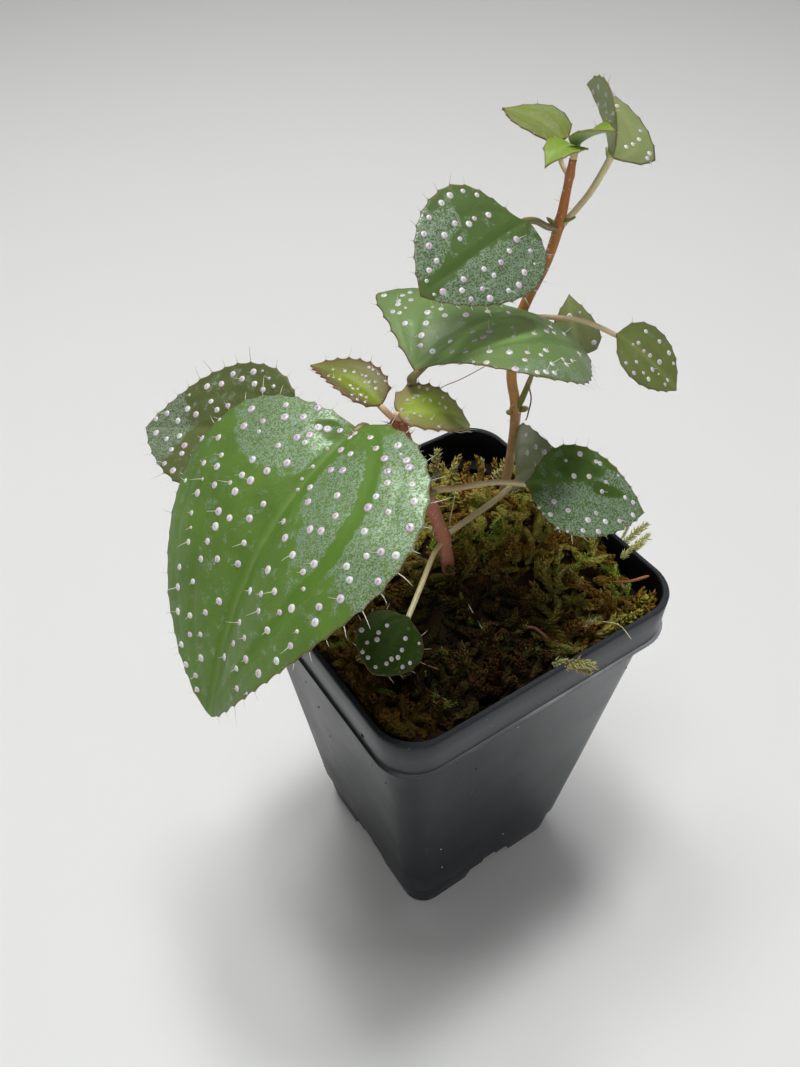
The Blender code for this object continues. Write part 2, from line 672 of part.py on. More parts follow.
def blade_object(leaf, name, group, material):
    points, faces, loop = blade_grid(leaf)
    count = len(points)
    bm = bmesh.new()
    half = leaf["thick"] / 2
    for lift in (half, -half):
        for p in points:
            bm.verts.new(on_blade(leaf, p.x, p.y, lift) * MM)
    bm.verts.ensure_lookup_table()
    raised = []
    for shape, dot, _ in faces:
        for tri in fan(shape, points):
            bm.faces.new([bm.verts[count + k] for k in reversed(tri)])
        if dot:
            raised.append(bm.faces.new([bm.verts[k] for k in shape]))
            continue
        for tri in fan(shape, points):
            bm.faces.new([bm.verts[k] for k in tri])
    for a, b in zip(loop, loop[1:] + loop[:1]):
        bm.faces.new([bm.verts[a], bm.verts[count + a], bm.verts[b]])
        bm.faces.new([bm.verts[b], bm.verts[count + a], bm.verts[count + b]])
    bm.normal_update()
    for face in raised:
        quarter = face.calc_area() / face.calc_perimeter()
        if quarter > DOT_LEAST * MM:
            inset = min(quarter, 0.5 * MM)
            bmesh.ops.inset_individual(bm, faces=[face], thickness=inset, depth=DOT_RISE * MM)
    bmesh.ops.triangulate(bm, faces=[f for f in bm.faces if len(f.verts) > 3])
    bmesh.ops.recalc_face_normals(bm, faces=bm.faces)
    mesh = bpy.data.meshes.new(name)
    bm.to_mesh(mesh)
    bm.free()
    return add_object(name, mesh, group, material)


def stalk_line(leaf):
    """The leaf's stalk from just off its stem into its blade."""
    via = [plant(p) for p in leaf["via"]]
    if via:
        axis, rise, radius = stem_at(leaf["stem"], leaf["node"])
        way = (via[0] - axis).normalized()
        lean = abs(way.dot(rise))
        across = math.sqrt(max(1 - lean * lean, 0.05))
        start = axis + way * ((radius + GAP * 1.3) / across + leaf["stalk"] * lean / across)
    else:
        start = plant(leaf["start"])
    under = on_blade(leaf, -0.03, 0.0, -leaf["stalk"] * 0.6)
    seat = on_blade(leaf, 0.05, 0.0, -0.1)
    inner = on_blade(leaf, 0.13, 0.0, -0.05)
    places = [start] + via + [under, seat, inner]
    widths = [leaf["stalk"]] * (len(via) + 2) + [leaf["stalk"] * STALK_TAPER, 0.2]
    return smooth_route([(tuple(p), r) for p, r in zip(places, widths)], 2)


def build_leaves(parts):
    materials = {name: make_material(name) for name in ("leaf_green", "leaf_olive", "leaf_young")}
    for name, leaf in LEAVES.items():
        material = materials[leaf["colour"]]
        blade = blade_object(leaf, name, parts, material)
        combine(blade, tube("stalk", stalk_line(leaf), parts, material, 1), "UNION")
        tidy(blade)
    young = materials["leaf_young"]
    route = [(plant(place), radius) for place, radius in smooth_route(TIP_SHOOT, 2)]
    shoot = tube("growing_tip", route, parts, young, 1)
    for leaf in TIP_LEAVES:
        combine(shoot, blade_object(leaf, "young", parts, young), "UNION")
    tidy(shoot)


def main():
    clear_scene()
    parts = make_collection("potted_calvoa")
    cutters = make_collection("cutters", hidden=True)
    build_pot(parts, cutters)
    build_moss(parts, cutters)
    build_stems(parts)
    build_leaves(parts)


main()
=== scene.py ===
"""Potted calvoa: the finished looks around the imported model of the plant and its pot."""
import json
import math
import random

import bmesh
import bpy
from mathutils import Matrix, Vector, noise
from mathutils.bvhtree import BVHTree
from mathutils.geometry import interpolate_bezier

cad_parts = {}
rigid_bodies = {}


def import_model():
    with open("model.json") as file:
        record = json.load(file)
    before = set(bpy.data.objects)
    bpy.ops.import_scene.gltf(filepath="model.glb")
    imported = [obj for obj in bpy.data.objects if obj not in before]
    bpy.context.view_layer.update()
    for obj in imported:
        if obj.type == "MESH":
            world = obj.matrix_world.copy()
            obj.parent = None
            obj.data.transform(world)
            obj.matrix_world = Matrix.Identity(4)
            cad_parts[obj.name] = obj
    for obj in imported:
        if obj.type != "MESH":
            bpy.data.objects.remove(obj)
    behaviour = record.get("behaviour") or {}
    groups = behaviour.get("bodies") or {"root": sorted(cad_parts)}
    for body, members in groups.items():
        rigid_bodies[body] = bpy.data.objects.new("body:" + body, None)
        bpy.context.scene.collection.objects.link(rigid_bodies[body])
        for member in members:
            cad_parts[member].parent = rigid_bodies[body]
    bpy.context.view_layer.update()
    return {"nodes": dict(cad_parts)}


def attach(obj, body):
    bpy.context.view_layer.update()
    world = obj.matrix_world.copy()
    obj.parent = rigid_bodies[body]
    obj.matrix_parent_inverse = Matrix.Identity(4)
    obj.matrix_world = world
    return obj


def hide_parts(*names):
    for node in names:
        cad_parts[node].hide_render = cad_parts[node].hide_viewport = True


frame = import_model()
MM = 0.001


# View
# The plant is seen over the front corner of its pot, from a hand's breadth off and half above.
# The place and the lens follow from the rim's corners and the wall's edges in the photograph.
PHOTO_SIZE = (800, 1067)
CAMERA_PLACE = (-76.021, -100.413, 220.345)     # mm, like every size below
CAMERA_TURN = 33.176                            # degrees to the right of +Y
CAMERA_DOWN = 44.546
CAMERA_ROLL = -0.887
LENS = 32.054
SENSOR = 36.0

camera_data = bpy.data.cameras.new("photo_camera")
camera_data.lens = LENS
camera_data.sensor_width = SENSOR
camera_data.clip_start = 0.01
camera = bpy.data.objects.new("photo_camera", camera_data)
bpy.context.scene.collection.objects.link(camera)
look = (Matrix.Rotation(math.radians(-CAMERA_TURN), 4, "Z")
        @ Matrix.Rotation(math.radians(90 - CAMERA_DOWN), 4, "X")
        @ Matrix.Rotation(math.radians(CAMERA_ROLL), 4, "Z"))
camera.matrix_world = Matrix.Translation(Vector(CAMERA_PLACE) * MM) @ look
bpy.context.scene.camera = camera


# Pot
# A square nursery pot of thin dark grey plastic, injection moulded in one piece. A straight band
# with a lip at its foot stiffens the rim; a pale highlight is painted along the top of that lip. The
# wall tapers to a stepped foot, and recesses between the feet hold the drains.
POT_HEIGHT = 89.0
RIM_SIDE = 64.0
BAND_FOOT_SIDE = 63.4
BAND_HEIGHT = 9.6
BODY_TOP_SIDE = 60.2
BASE_SIDE = 41.8
CORNER_SHARE = 0.125          # corner radius as a part of the side
WALL = 1.0
FLOOR = 1.4
STEP_HEIGHT = 10.0
STEP_DEPTH = 0.45
RECESS_LENGTH = 15.0
RECESS_TOP_LENGTH = 11.0
RECESS_HEIGHT = 4.0
RECESS_DEPTH = 5.0
SLOT_WIDTH = 5.0
SLOT_LOW = 1.5
SLOT_HIGH = 3.6
NOTCH_WIDTH = 4.6
NOTCH_TOP = 5.6
WALL_BOW = 0.10               # how far the thin walls wander
LIP = ((0, -0.4), (0.1, 0.5), (0.26, 0.9), (0.44, 0.94), (0.52, 0.84), (0.58, 0.5), (0.64, 0.14),
       (0.8, 0.02), (1.2, 0.02), (5, 0.32))       # over the band's foot, and how far the side grows
FOOT_ROUND = ((0.0, 1.4), (0.12, 0.7), (0.5, 0.0))


def add_piece(name, mesh, *materials):
    """A piece with its place in its mesh."""
    piece = bpy.data.objects.new(name, mesh)
    bpy.context.scene.collection.objects.link(piece)
    for material in materials:
        mesh.materials.append(material)
    return piece


def make_mesh(name, bm, outward=False):
    """Ends a bmesh as a smooth shaded mesh, with its faces turned outward where that is asked."""
    if outward:
        bmesh.ops.recalc_face_normals(bm, faces=bm.faces)
    mesh = bpy.data.meshes.new(name)
    bm.to_mesh(mesh)
    bm.free()
    mesh.polygons.foreach_set("use_smooth", [True] * len(mesh.polygons))
    return mesh


def body_side(height):
    """Outer side of the tapered wall at a height."""
    return BASE_SIDE + (BODY_TOP_SIDE - BASE_SIDE) * height / (POT_HEIGHT - BAND_HEIGHT)


def pot_profile():
    """Height and side from the outer foot over the rim and down the inside."""
    band = POT_HEIGHT - BAND_HEIGHT
    foot = 2 * STEP_DEPTH
    outside = [(z, BASE_SIDE - foot - cut) for z, cut in FOOT_ROUND]
    outside += [(z, body_side(z) - foot) for z in (4.5, 9.4)]
    outside += [(9.8, body_side(9.8) - 0.1)]
    outside += [(z, body_side(z)) for z in (STEP_HEIGHT + 0.2, 20, 32, 44, 56, 68, band - 0.9)]
    outside += [(band - 0.25, BODY_TOP_SIDE + 0.1), (band - 0.05, BODY_TOP_SIDE + 0.5)]
    outside += [(band + up, BAND_FOOT_SIDE + out) for up, out in LIP]
    rim = [(POT_HEIGHT - 0.45, RIM_SIDE), (POT_HEIGHT - 0.12, RIM_SIDE - 0.25)]
    rim += [(POT_HEIGHT, RIM_SIDE - 0.8), (POT_HEIGHT - 0.02, RIM_SIDE - 2 * WALL + 0.35)]
    rim += [(POT_HEIGHT - 0.3, RIM_SIDE - 2 * WALL)]
    inside = [(POT_HEIGHT - 5, RIM_SIDE - 2 * WALL - 0.3), (band + 1.6, BAND_FOOT_SIDE - 2 * WALL - 0.2)]
    inside += [(band + 0.6, BODY_TOP_SIDE - 2 * WALL + 0.1)]
    inside += [(z, body_side(z) - 2 * WALL) for z in (60, 40, 20)]
    inside += [(FLOOR, body_side(FLOOR) - 2 * WALL - 0.7)]
    return outside + rim + inside


def pot_shell():
    """One closed wall, drawn up from the foot ring by ring and down again inside."""
    profile = pot_profile()
    first_side = profile[0][1]
    bm = bmesh.new()
    bmesh.ops.create_grid(bm, x_segments=1, y_segments=1, size=first_side / 2)
    bmesh.ops.bevel(bm, geom=bm.verts[:], offset=first_side * CORNER_SHARE, offset_type="OFFSET",
                    segments=10, profile=0.5, affect="VERTICES", material=-1)
    longest = sorted(bm.edges, key=lambda e: e.calc_length())[-4:]
    bmesh.ops.subdivide_edges(bm, edges=longest, cuts=9)
    ring = bm.edges[:]
    before = first_side
    level = profile[0][0]
    for height, side in profile[1:]:
        grown = bmesh.ops.extrude_edge_only(bm, edges=ring)["geom"]
        verts = [g for g in grown if isinstance(g, bmesh.types.BMVert)]
        ring = [g for g in grown if isinstance(g, bmesh.types.BMEdge)]
        share = side / before
        bmesh.ops.scale(bm, vec=(share, share, 1), verts=verts)
        bmesh.ops.translate(bm, vec=(0, 0, height - level), verts=verts)
        before, level = side, height
    bmesh.ops.contextual_create(bm, geom=ring)
    bmesh.ops.recalc_face_normals(bm, faces=bm.faces)
    for v in bm.verts:
        if STEP_HEIGHT < v.co.z < POT_HEIGHT + 1:
            spot = v.co / 24
            sway = noise.noise((spot.x, spot.y, spot.z))
            v.co += Vector((v.co.x, v.co.y, 0)).normalized() * WALL_BOW * sway
    bmesh.ops.scale(bm, vec=(MM, MM, MM), verts=bm.verts)
    return make_mesh("pot_shell", bm)


def wedge_ring(low_half, high_half, near, far, low, high):
    """Four tapered blocks, one towards each wall."""
    bm = bmesh.new()
    for turn in range(4):
        block = bmesh.ops.create_cube(bm, size=1.0)["verts"]
        for v in block:
            half = high_half if v.co.z > 0 else low_half
            v.co = Vector((v.co.x * 2 * half,
                           near if v.co.y < 0 else far,
                           high if v.co.z > 0 else low))
        bmesh.ops.rotate(bm, cent=(0, 0, 0), verts=block,
                         matrix=Matrix.Rotation(turn * math.pi / 2, 3, "Z"))
    bmesh.ops.scale(bm, vec=(MM, MM, MM), verts=bm.verts)
    return make_mesh("wedges", bm)


def work_in(piece, mesh, operation):
    """Joins a tool's mesh to a piece, or takes it out, for good."""
    cutter = add_piece("cutter", mesh)
    modifier = piece.modifiers.new("work", "BOOLEAN")
    modifier.operation = operation
    modifier.solver = "EXACT"
    modifier.object = cutter
    bpy.context.view_layer.update()
    graph = bpy.context.evaluated_depsgraph_get()
    piece.data = bpy.data.meshes.new_from_object(piece.evaluated_get(graph))
    piece.modifiers.clear()
    bpy.data.objects.remove(cutter, do_unlink=True)


def node(tree, kind, **sockets):
    """A shader node with its sockets set or linked by name."""
    made = tree.nodes.new("ShaderNode" + kind)
    for name, value in sockets.items():
        socket = made.inputs[name.replace("_", " ")]
        if isinstance(value, bpy.types.NodeSocket):
            tree.links.new(value, socket)
        else:
            socket.default_value = value
    return made


def colour_mix(tree, share, low, high, kind="MIX"):
    """The colour low where share is 0 and high where it is 1."""
    made = tree.nodes.new("ShaderNodeMix")
    made.data_type = "RGBA"
    made.blend_type = kind
    for socket, value in zip((made.inputs[0], made.inputs[6], made.inputs[7]), (share, low, high)):
        if isinstance(value, bpy.types.NodeSocket):
            tree.links.new(value, socket)
        else:
            socket.default_value = value if isinstance(value, float) else (*value, 1.0)
    return made.outputs[2]


def span(tree, value, low, high, start=0.0, end=1.0):
    """Brings a value between low and high to start and end."""
    made = node(tree, "MapRange", Value=value)
    made.inputs["From Min"].default_value = low
    made.inputs["From Max"].default_value = high
    made.inputs["To Min"].default_value = start
    made.inputs["To Max"].default_value = end
    return made.outputs["Result"]


def speckle(tree, grain, detail=2.0, stretch=(1.0, 1.0, 1.0)):
    """Noise over the piece, with grains of about that many mm."""
    place = node(tree, "TexCoord").outputs["Object"]
    spread = node(tree, "Mapping", Vector=place)
    spread.inputs["Scale"].default_value = stretch
    made = node(tree, "TexNoise", Vector=spread.outputs["Vector"], Scale=1 / (grain * MM), Detail=detail)
    return made.outputs["Fac"]


def product(tree, *values, operation="MULTIPLY"):
    """The values multiplied, or added where that is the operation."""
    result = values[0]
    for value in values[1:]:
        made = tree.nodes.new("ShaderNodeMath")
        made.operation = operation
        for socket, given in zip(made.inputs, (result, value)):
            if isinstance(given, bpy.types.NodeSocket):
                tree.links.new(given, socket)
            else:
                socket.default_value = given
        result = made.outputs[0]
    return result


def read(tree, name):
    """A value kept on the vertices."""
    made = node(tree, "Attribute")
    made.attribute_name = name
    return made.outputs["Fac"]


def grey(tree, value):
    """A value as a colour."""
    return node(tree, "CombineColor", Red=value, Green=value, Blue=value).outputs["Color"]


def wire(tree, shader, **sockets):
    """Links what varies over the piece to the shader's sockets."""
    for name, value in sockets.items():
        tree.links.new(value, shader[name.replace("_", " ")])


def bumps(tree, height, depth, under=None):
    """Relief of so many mm where the height is 1."""
    made = node(tree, "Bump", Height=height, Distance=depth * MM)
    if under:
        tree.links.new(under, made.inputs["Normal"])
    return made.outputs["Normal"]


def new_finish(name, **sockets):
    """A material and its shader, with what is the same all over set on the shader."""
    material = bpy.data.materials.new(name)
    material.use_nodes = True
    shader = material.node_tree.nodes["Principled BSDF"]
    for socket, value in sockets.items():
        shader.inputs[socket.replace("_", " ")].default_value = value
    return material, material.node_tree, shader.inputs


def pot_plastic():
    """Satin plastic with cloudy patches, dust, a few scuffs, a painted highlight along the band's lip and a
    painted reflection that is stronger high up and towards +X.
    """
    material, tree, pot = new_finish("pot_plastic", Specular_Tint=(0.90, 0.95, 1.0, 1.0))
    spot = node(tree, "SeparateXYZ", Vector=node(tree, "TexCoord").outputs["Object"]).outputs
    aside, away, rise = spot["X"], spot["Y"], spot["Z"]
    foot = POT_HEIGHT - BAND_HEIGHT
    # Painted reflection: the plastic reflects more towards +X and on the band, and less low on the walls.
    wall = product(tree, span(tree, aside, -0.012, 0.018, 0.85, 2.2),
                   span(tree, aside, 0.0, 0.018, 1.0, 1.9))
    band = span(tree, aside, -0.015, 0.030, 1.35, 2.1)
    shine = colour_mix(tree, span(tree, rise, (foot + 0.1) * MM, (foot + 1.2) * MM), wall, band)
    cloud = speckle(tree, 14.0, 4.0)
    scuff = span(tree, speckle(tree, 1.6, 3.0, (1.0, 1.0, 0.12)), 0.66, 0.74)
    dust = span(tree, speckle(tree, 0.7, 1.0), 0.74, 0.78)
    plain = colour_mix(tree, span(tree, cloud, 0.3, 0.7), (0.0075, 0.0092, 0.0125),
                       (0.0110, 0.0128, 0.0165))
    wear_and_highlight = colour_mix(tree, product(tree, scuff, 0.25), plain, (0.07, 0.07, 0.07))
    # Painted highlight: a pale line on top of the lip at the band's foot, strong on the -Y wall and towards
    # +X and faint elsewhere, its strength uneven.
    highlight_ledge = product(tree, span(tree, rise, (foot + 0.46) * MM, (foot + 0.50) * MM),
                    span(tree, rise, (foot + 0.94) * MM, (foot + 0.76) * MM),
                    span(tree, aside, -0.028, 0.006, 0.2, 1.0), span(tree, away, -0.030, -0.022, 1.0, 0.15))
    painted_highlight = product(tree, highlight_ledge, span(tree, speckle(tree, 9.0, 3.0), 0.3, 0.7, 0.5, 1.0))
    wear_and_highlight = colour_mix(tree, painted_highlight, wear_and_highlight, (0.74, 0.76, 0.80))
    lip = span(tree, rise, (POT_HEIGHT - 1.0) * MM, (POT_HEIGHT - 0.4) * MM)
    fine = bumps(tree, speckle(tree, 0.35, 2.0), 0.012)
    wire(tree, pot,
         Base_Color=colour_mix(tree, product(tree, dust, 0.5), wear_and_highlight, (0.16, 0.15, 0.13)),
         Roughness=colour_mix(tree, lip, span(tree, cloud, 0.3, 0.7, 0.30, 0.38), (0.7,) * 3),
         Specular_IOR_Level=product(tree, span(tree, rise, 0.02, 0.08, 0.08, 0.30), shine),
         Normal=bumps(tree, speckle(tree, 16.0, 2.0), 0.10, fine))
    return material


reach = BASE_SIDE / 2 - RECESS_DEPTH
long_half, short_half = RECESS_LENGTH / 2, RECESS_TOP_LENGTH / 2
pot = add_piece("pot_moulded", pot_shell())
work_in(pot, wedge_ring(long_half + WALL, short_half + WALL, reach - WALL, BASE_SIDE / 2 - WALL * 0.8,
                        FLOOR / 2, RECESS_HEIGHT + WALL), "UNION")
work_in(pot, wedge_ring(long_half, short_half, reach, BASE_SIDE, -2.0, RECESS_HEIGHT), "DIFFERENCE")
work_in(pot, wedge_ring(SLOT_WIDTH / 2, SLOT_WIDTH / 2, reach - 3, reach + 1, SLOT_LOW, SLOT_HIGH),
        "DIFFERENCE")
work_in(pot, wedge_ring(NOTCH_WIDTH / 2, NOTCH_WIDTH / 2 - 0.6, BASE_SIDE / 2 - 2.4, BASE_SIDE,
                        RECESS_HEIGHT - 1.0, NOTCH_TOP), "DIFFERENCE")
pot.data.materials.clear()
pot.data.materials.append(pot_plastic())
# The inner walls take a darker, duller plastic than the outside, as painted shade inside the pot.
pot.data.materials.append(new_finish("pot_inside_painted_shade", Roughness=0.6, Specular_IOR_Level=0.1,
                                     Base_Color=(0.003, 0.003, 0.004, 1.0))[0])
for face in pot.data.polygons:
    middle = face.center
    inward = face.normal.x * middle.x + face.normal.y * middle.y < 0
    upright = abs(face.normal.z) < 0.95
    face.material_index = int(inward and upright and FLOOR * MM < middle.z < (POT_HEIGHT - 0.2) * MM)
pot.data.set_sharp_from_angle(angle=math.radians(38))
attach(pot, "root")
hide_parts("pot")


# Moss
# Long fibred bog moss is packed round the roots up to the rim. Its branchlets are soft ropes of
# overlapping scale leaves, brown where they are old and wet, tan and yellow green where they are
# fresh. A few feathery shoots stand up or lie over the rim, among loose threads and bits of straw.
MOSS_LEVEL = 86.3
# Place as seen in the photograph, spread and height of the mound and of the two hollows by the wall
SWELLS = (((9, 2), 13.0, 5.2), ((6, 42), 11.0, -10.0), ((42, -6), 11.0, -5.0))
LUMP = 2.1
LUMP_GRAIN = 7.5
FINE_LUMP_GRAIN = 3.1
MOSS_HALF = 30.8                      # from the middle to the wall
MOSS_GAP = 0.9                        # between the wall and where a branchlet starts
BRANCH_GAP = 0.5                      # and between the wall and all of it
TIP_LIFT = 2.0                        # how far the ends stand over the moss at most
TRIALS = 9
MOSS_CORNER = 6.5
BAND_START = 2.0                      # the wall is as wide inside as the band from here on
PLANT_TURN = math.radians(-33.2)      # from the photograph's right and away to the pot's sides
SHADE_MIDDLE = (3.0, -21.0)             # the moss is painted darker round this place, as shade under the leaves
SHADE_REACH = (13.5, 28.0)
BRANCH_KINDS = 16
BRANCH_LENGTH = 7.0
BRANCH_SCALES = 66
SHOOT_GIRTH = 0.28                    # of the feathery shoots, with their number of leaves
SHOOT_SCALES = 80
BROWN_BRANCHES = 430
GREEN_BRANCHES = 440
EDGE_BRANCHES = 260
EDGE_START = 24.5                     # from the middle, to one side
SPRIGS = 60
# Fronds that stand up at the back and lie over the rim, as foot, end and thickness
FRONDS = [((35.2, 5.5, 87.2), (39.6, 9.6, 89.4), 1.0), ((34.4, 3.0, 87.0), (40.2, 4.6, 89.6), 1.0),
          ((34.0, 2.0, 87.2), (37.8, 3.4, 90.0), 1.3), ((35.0, 7.0, 87.0), (37.4, 10.2, 88.4), 0.8),
          ((17.4, -24.0, 88.0), (24.6, -25.3, 89.3), 1.2), ((19.2, -23.4, 88.4), (23.4, -26.6, 88.2), 1.0),
          ((22.0, -16.0, 87.6), (25.6, -17.4, 89.8), 1.5), ((-0.8, 29.0, 84.0), (-1.2, 31.0, 90.5), 1.3),
          ((1.6, 28.0, 83.0), (2.4, 29.5, 88.4), 1.2), ((9.0, 29.0, 82.0), (9.4, 31.2, 87.4), 1.1),
          ((12.2, 27.6, 82.0), (12.8, 29.4, 88.6), 1.9), ((13.8, 27.8, 82.0), (14.4, 29.6, 87.8), 1.7)]
# Bright green young tufts, and leafy shoots among the old moss at the front
TUFTS = [((4.2, 7.1, 89.0), (3.4, 3.4, 92.8), 2.0), ((5.6, 5.8, 89.0), (6.4, 2.0, 92.4), 2.0),
         ((11.6, 9.8, 89.0), (11.0, 6.4, 93.2), 2.0), ((10.4, 8.4, 89.0), (9.0, 5.0, 92.4), 1.8),
         ((8.0, 1.5, 89.8), (7.4, -2.2, 92.8), 1.6), ((5.0, 9.8, 88.6), (3.6, 7.4, 92.2), 1.8),
         ((10.6, -16.6, 87.0), (14.0, -17.4, 88.8), 1.6), ((12.0, -19.4, 86.8), (15.4, -20.8, 88.4), 1.8),
         ((17.8, -18.4, 86.8), (20.2, -21.4, 88.6), 1.5), ((23.2, -14.8, 87.4), (26.8, -13.8, 89.4), 1.5),
         ((8.2, -16.0, 86.6), (9.6, -19.0, 88.4), 1.4), ((-6.4, -22.4, 86.4), (-4.0, -25.4, 88.0), 1.3)]
# Loose threads, bits of root and straw, as their points and thickness
THREADS = [(((2.4, -6.5, 89.2), (3.8, -12.4, 89.8), (6.3, -17.4, 88.4)), 0.10, "straw"),
           (((26.3, -14.8, 88.4), (30.0, -16.6, 89.4), (31.6, -20.4, 89.9)), 0.09, "straw"),
           (((31.6, -4.0, 86.8), (34.6, -4.8, 87.9), (38.2, -4.0, 88.4)), 0.30, "rust"),
           (((15.5, 4.6, 89.8), (17.7, 6.6, 90.4), (21.4, 9.8, 90.2)), 0.22, "bark"),
           (((11.6, -17.2, 88.2), (14.7, -16.8, 89.2), (17.6, -19.2, 88.4)), 0.32, "wet"),
           (((1.5, 1.6, 106.0), (0.9, 1.0, 101.6), (0.4, 0.2, 98.4)), 0.10, "straw"),
           (((-8.4, -3.9, 126.4), (-4.4, 4.4, 122.6), (-1.3, 9.4, 122.6), (2.0, 9.6, 124.2),
             (6.0, 11.9, 125.0), (9.4, 15.0, 125.4)), 0.09, "silk"),
           (((15.2, 17.3, 117.6), (15.7, 15.4, 115.6), (15.2, 14.6, 112.2), (14.6, 12.4, 113.0)),
            0.13, "bark"),
           (((-9.0, -20.0, 88.0), (-5.2, -24.0, 88.8), (-1.0, -25.4, 87.8)), 0.12, "bark"),
           (((19.6, -4.0, 89.4), (23.6, -7.0, 89.8), (26.4, -8.6, 88.8)), 0.14, "rust")]


def plant(point):
    """From right, away and up in the photograph to the pot's own axes."""
    return Matrix.Rotation(PLANT_TURN, 3, "Z") @ Vector(point)


def moss_height(x, y):
    """Height of the moss at a place, with its mound, hollows and lumps."""
    seat = (Matrix.Rotation(-PLANT_TURN, 3, "Z") @ Vector((x, y, 0))).to_2d()
    level = MOSS_LEVEL
    for middle, spread, height in SWELLS:
        level += height * math.exp(-(seat - Vector(middle)).length_squared / (2 * spread ** 2))
    coarse = noise.noise((x / LUMP_GRAIN, y / LUMP_GRAIN, 3.1))
    fine = noise.noise((x / FINE_LUMP_GRAIN, y / FINE_LUMP_GRAIN, 8.7))
    return level + LUMP * coarse + 0.75 * LUMP * fine


def in_pot(point, gap):
    """True where a point keeps that gap from the pot's wall."""
    in_band = point.z > POT_HEIGHT - BAND_HEIGHT + BAND_START
    half = (RIM_SIDE if in_band else body_side(point.z)) / 2 - WALL - gap
    out_x = max(abs(point.x) - half + MOSS_CORNER, 0)
    out_y = max(abs(point.y) - half + MOSS_CORNER, 0)
    return math.hypot(out_x, out_y) < MOSS_CORNER


def gather(name, copies, *materials):
    """One piece from many small meshes, each with its place and its tone."""
    piece = add_piece(name, bpy.data.meshes.new(name))
    parts = [piece]
    used = []
    for shape, place, tone in copies:
        mesh = shape.copy()
        used.append(mesh)
        mesh.attributes.new("tone", "FLOAT", "POINT").data.foreach_set("value", [tone] * len(mesh.vertices))
        part = bpy.data.objects.new("part", mesh)
        bpy.context.scene.collection.objects.link(part)
        part.matrix_world = place
        parts.append(part)
    with bpy.context.temp_override(active_object=piece, selected_editable_objects=parts):
        bpy.ops.object.join()
    bpy.data.batch_remove(used)
    piece.data.polygons.foreach_set("use_smooth", [True] * len(piece.data.polygons))
    for material in materials:
        piece.data.materials.append(material)
    return piece


def facing(place, way, spin=0.0, size=1.0):
    """A frame at a place in mm whose X points along a way, turned about it."""
    way = Vector(way).normalized()
    turn = way.to_track_quat("X", "Z").to_matrix().to_4x4()
    return (Matrix.Translation(Vector(place) * MM) @ turn @ Matrix.Rotation(spin, 4, "X")
            @ Matrix.Scale(size, 4))


def rod(line, sides, bm=None):
    """A closed round rod through points in mm, each with its radius."""
    bm = bm or bmesh.new()
    first = bmesh.ops.create_circle(bm, cap_ends=True, segments=sides, radius=1.0)["verts"]
    shape = [v.co.copy() for v in first]
    ring_verts = first
    ring = list({e for v in first for e in v.link_edges})
    turn = None
    for k, (place, radius) in enumerate(line):
        ahead = line[min(k + 1, len(line) - 1)][0] - line[max(k - 1, 0)][0]
        if turn is None:
            turn = ahead.to_track_quat("Z", "Y")
        else:
            grown = bmesh.ops.extrude_edge_only(bm, edges=ring)["geom"]
            fresh = [g for g in grown if isinstance(g, bmesh.types.BMVert)]
            ring = [g for g in grown if isinstance(g, bmesh.types.BMEdge)]
            ring_verts = sorted(fresh, key=lambda v: min(range(sides), key=lambda i: (
                v.co - ring_verts[i].co).length_squared))
            turn = (turn @ Vector((0, 0, 1))).rotation_difference(ahead) @ turn
        for v, corner in zip(ring_verts, shape):
            v.co = (place + turn @ (corner * radius)) * MM
    bmesh.ops.contextual_create(bm, geom=ring)
    return bm


def smooth_route(points, steps):
    """Even curve through points given with a radius, as a list of point and radius."""
    values = [Vector((*p, r)) for p, r in points]
    ends = [values[0] * 2 - values[1]] + values + [values[-1] * 2 - values[-2]]
    out = []
    for a, b, c, d in zip(ends, ends[1:], ends[2:], ends[3:]):
        for step in range(steps):
            t = step / steps
            out.append(0.5 * (2 * b + (c - a) * t + (2 * a - 5 * b + 4 * c - d) * t ** 2
                              + (3 * b - a - 3 * c + d) * t ** 3))
    out.append(values[-1])
    return [(Vector(v[:3]), v[3]) for v in out]


def scale_leaf(width):
    """A cupped pointed leaf of the moss, 1 mm long along X, that pales towards its tip."""
    bm = bmesh.new()
    bmesh.ops.create_cone(bm, cap_ends=True, segments=3, radius1=0.58, radius2=0.0, depth=0.2)
    bmesh.ops.rotate(bm, cent=(0, 0, 0), matrix=Matrix.Rotation(-math.pi / 2, 3, "Z"), verts=bm.verts)
    bmesh.ops.transform(bm, matrix=Matrix.Diagonal((MM, width * MM, MM, 1)), verts=bm.verts)
    bmesh.ops.translate(bm, vec=(0.40 * MM, 0, 0.05 * MM), verts=bm.verts)
    rise = bm.verts.layers.float.new("rise")
    for v in bm.verts:
        v[rise] = 0.55 + 0.45 * (v.co.x / MM > 0.5)
    return make_mesh("scale_leaf", bm)


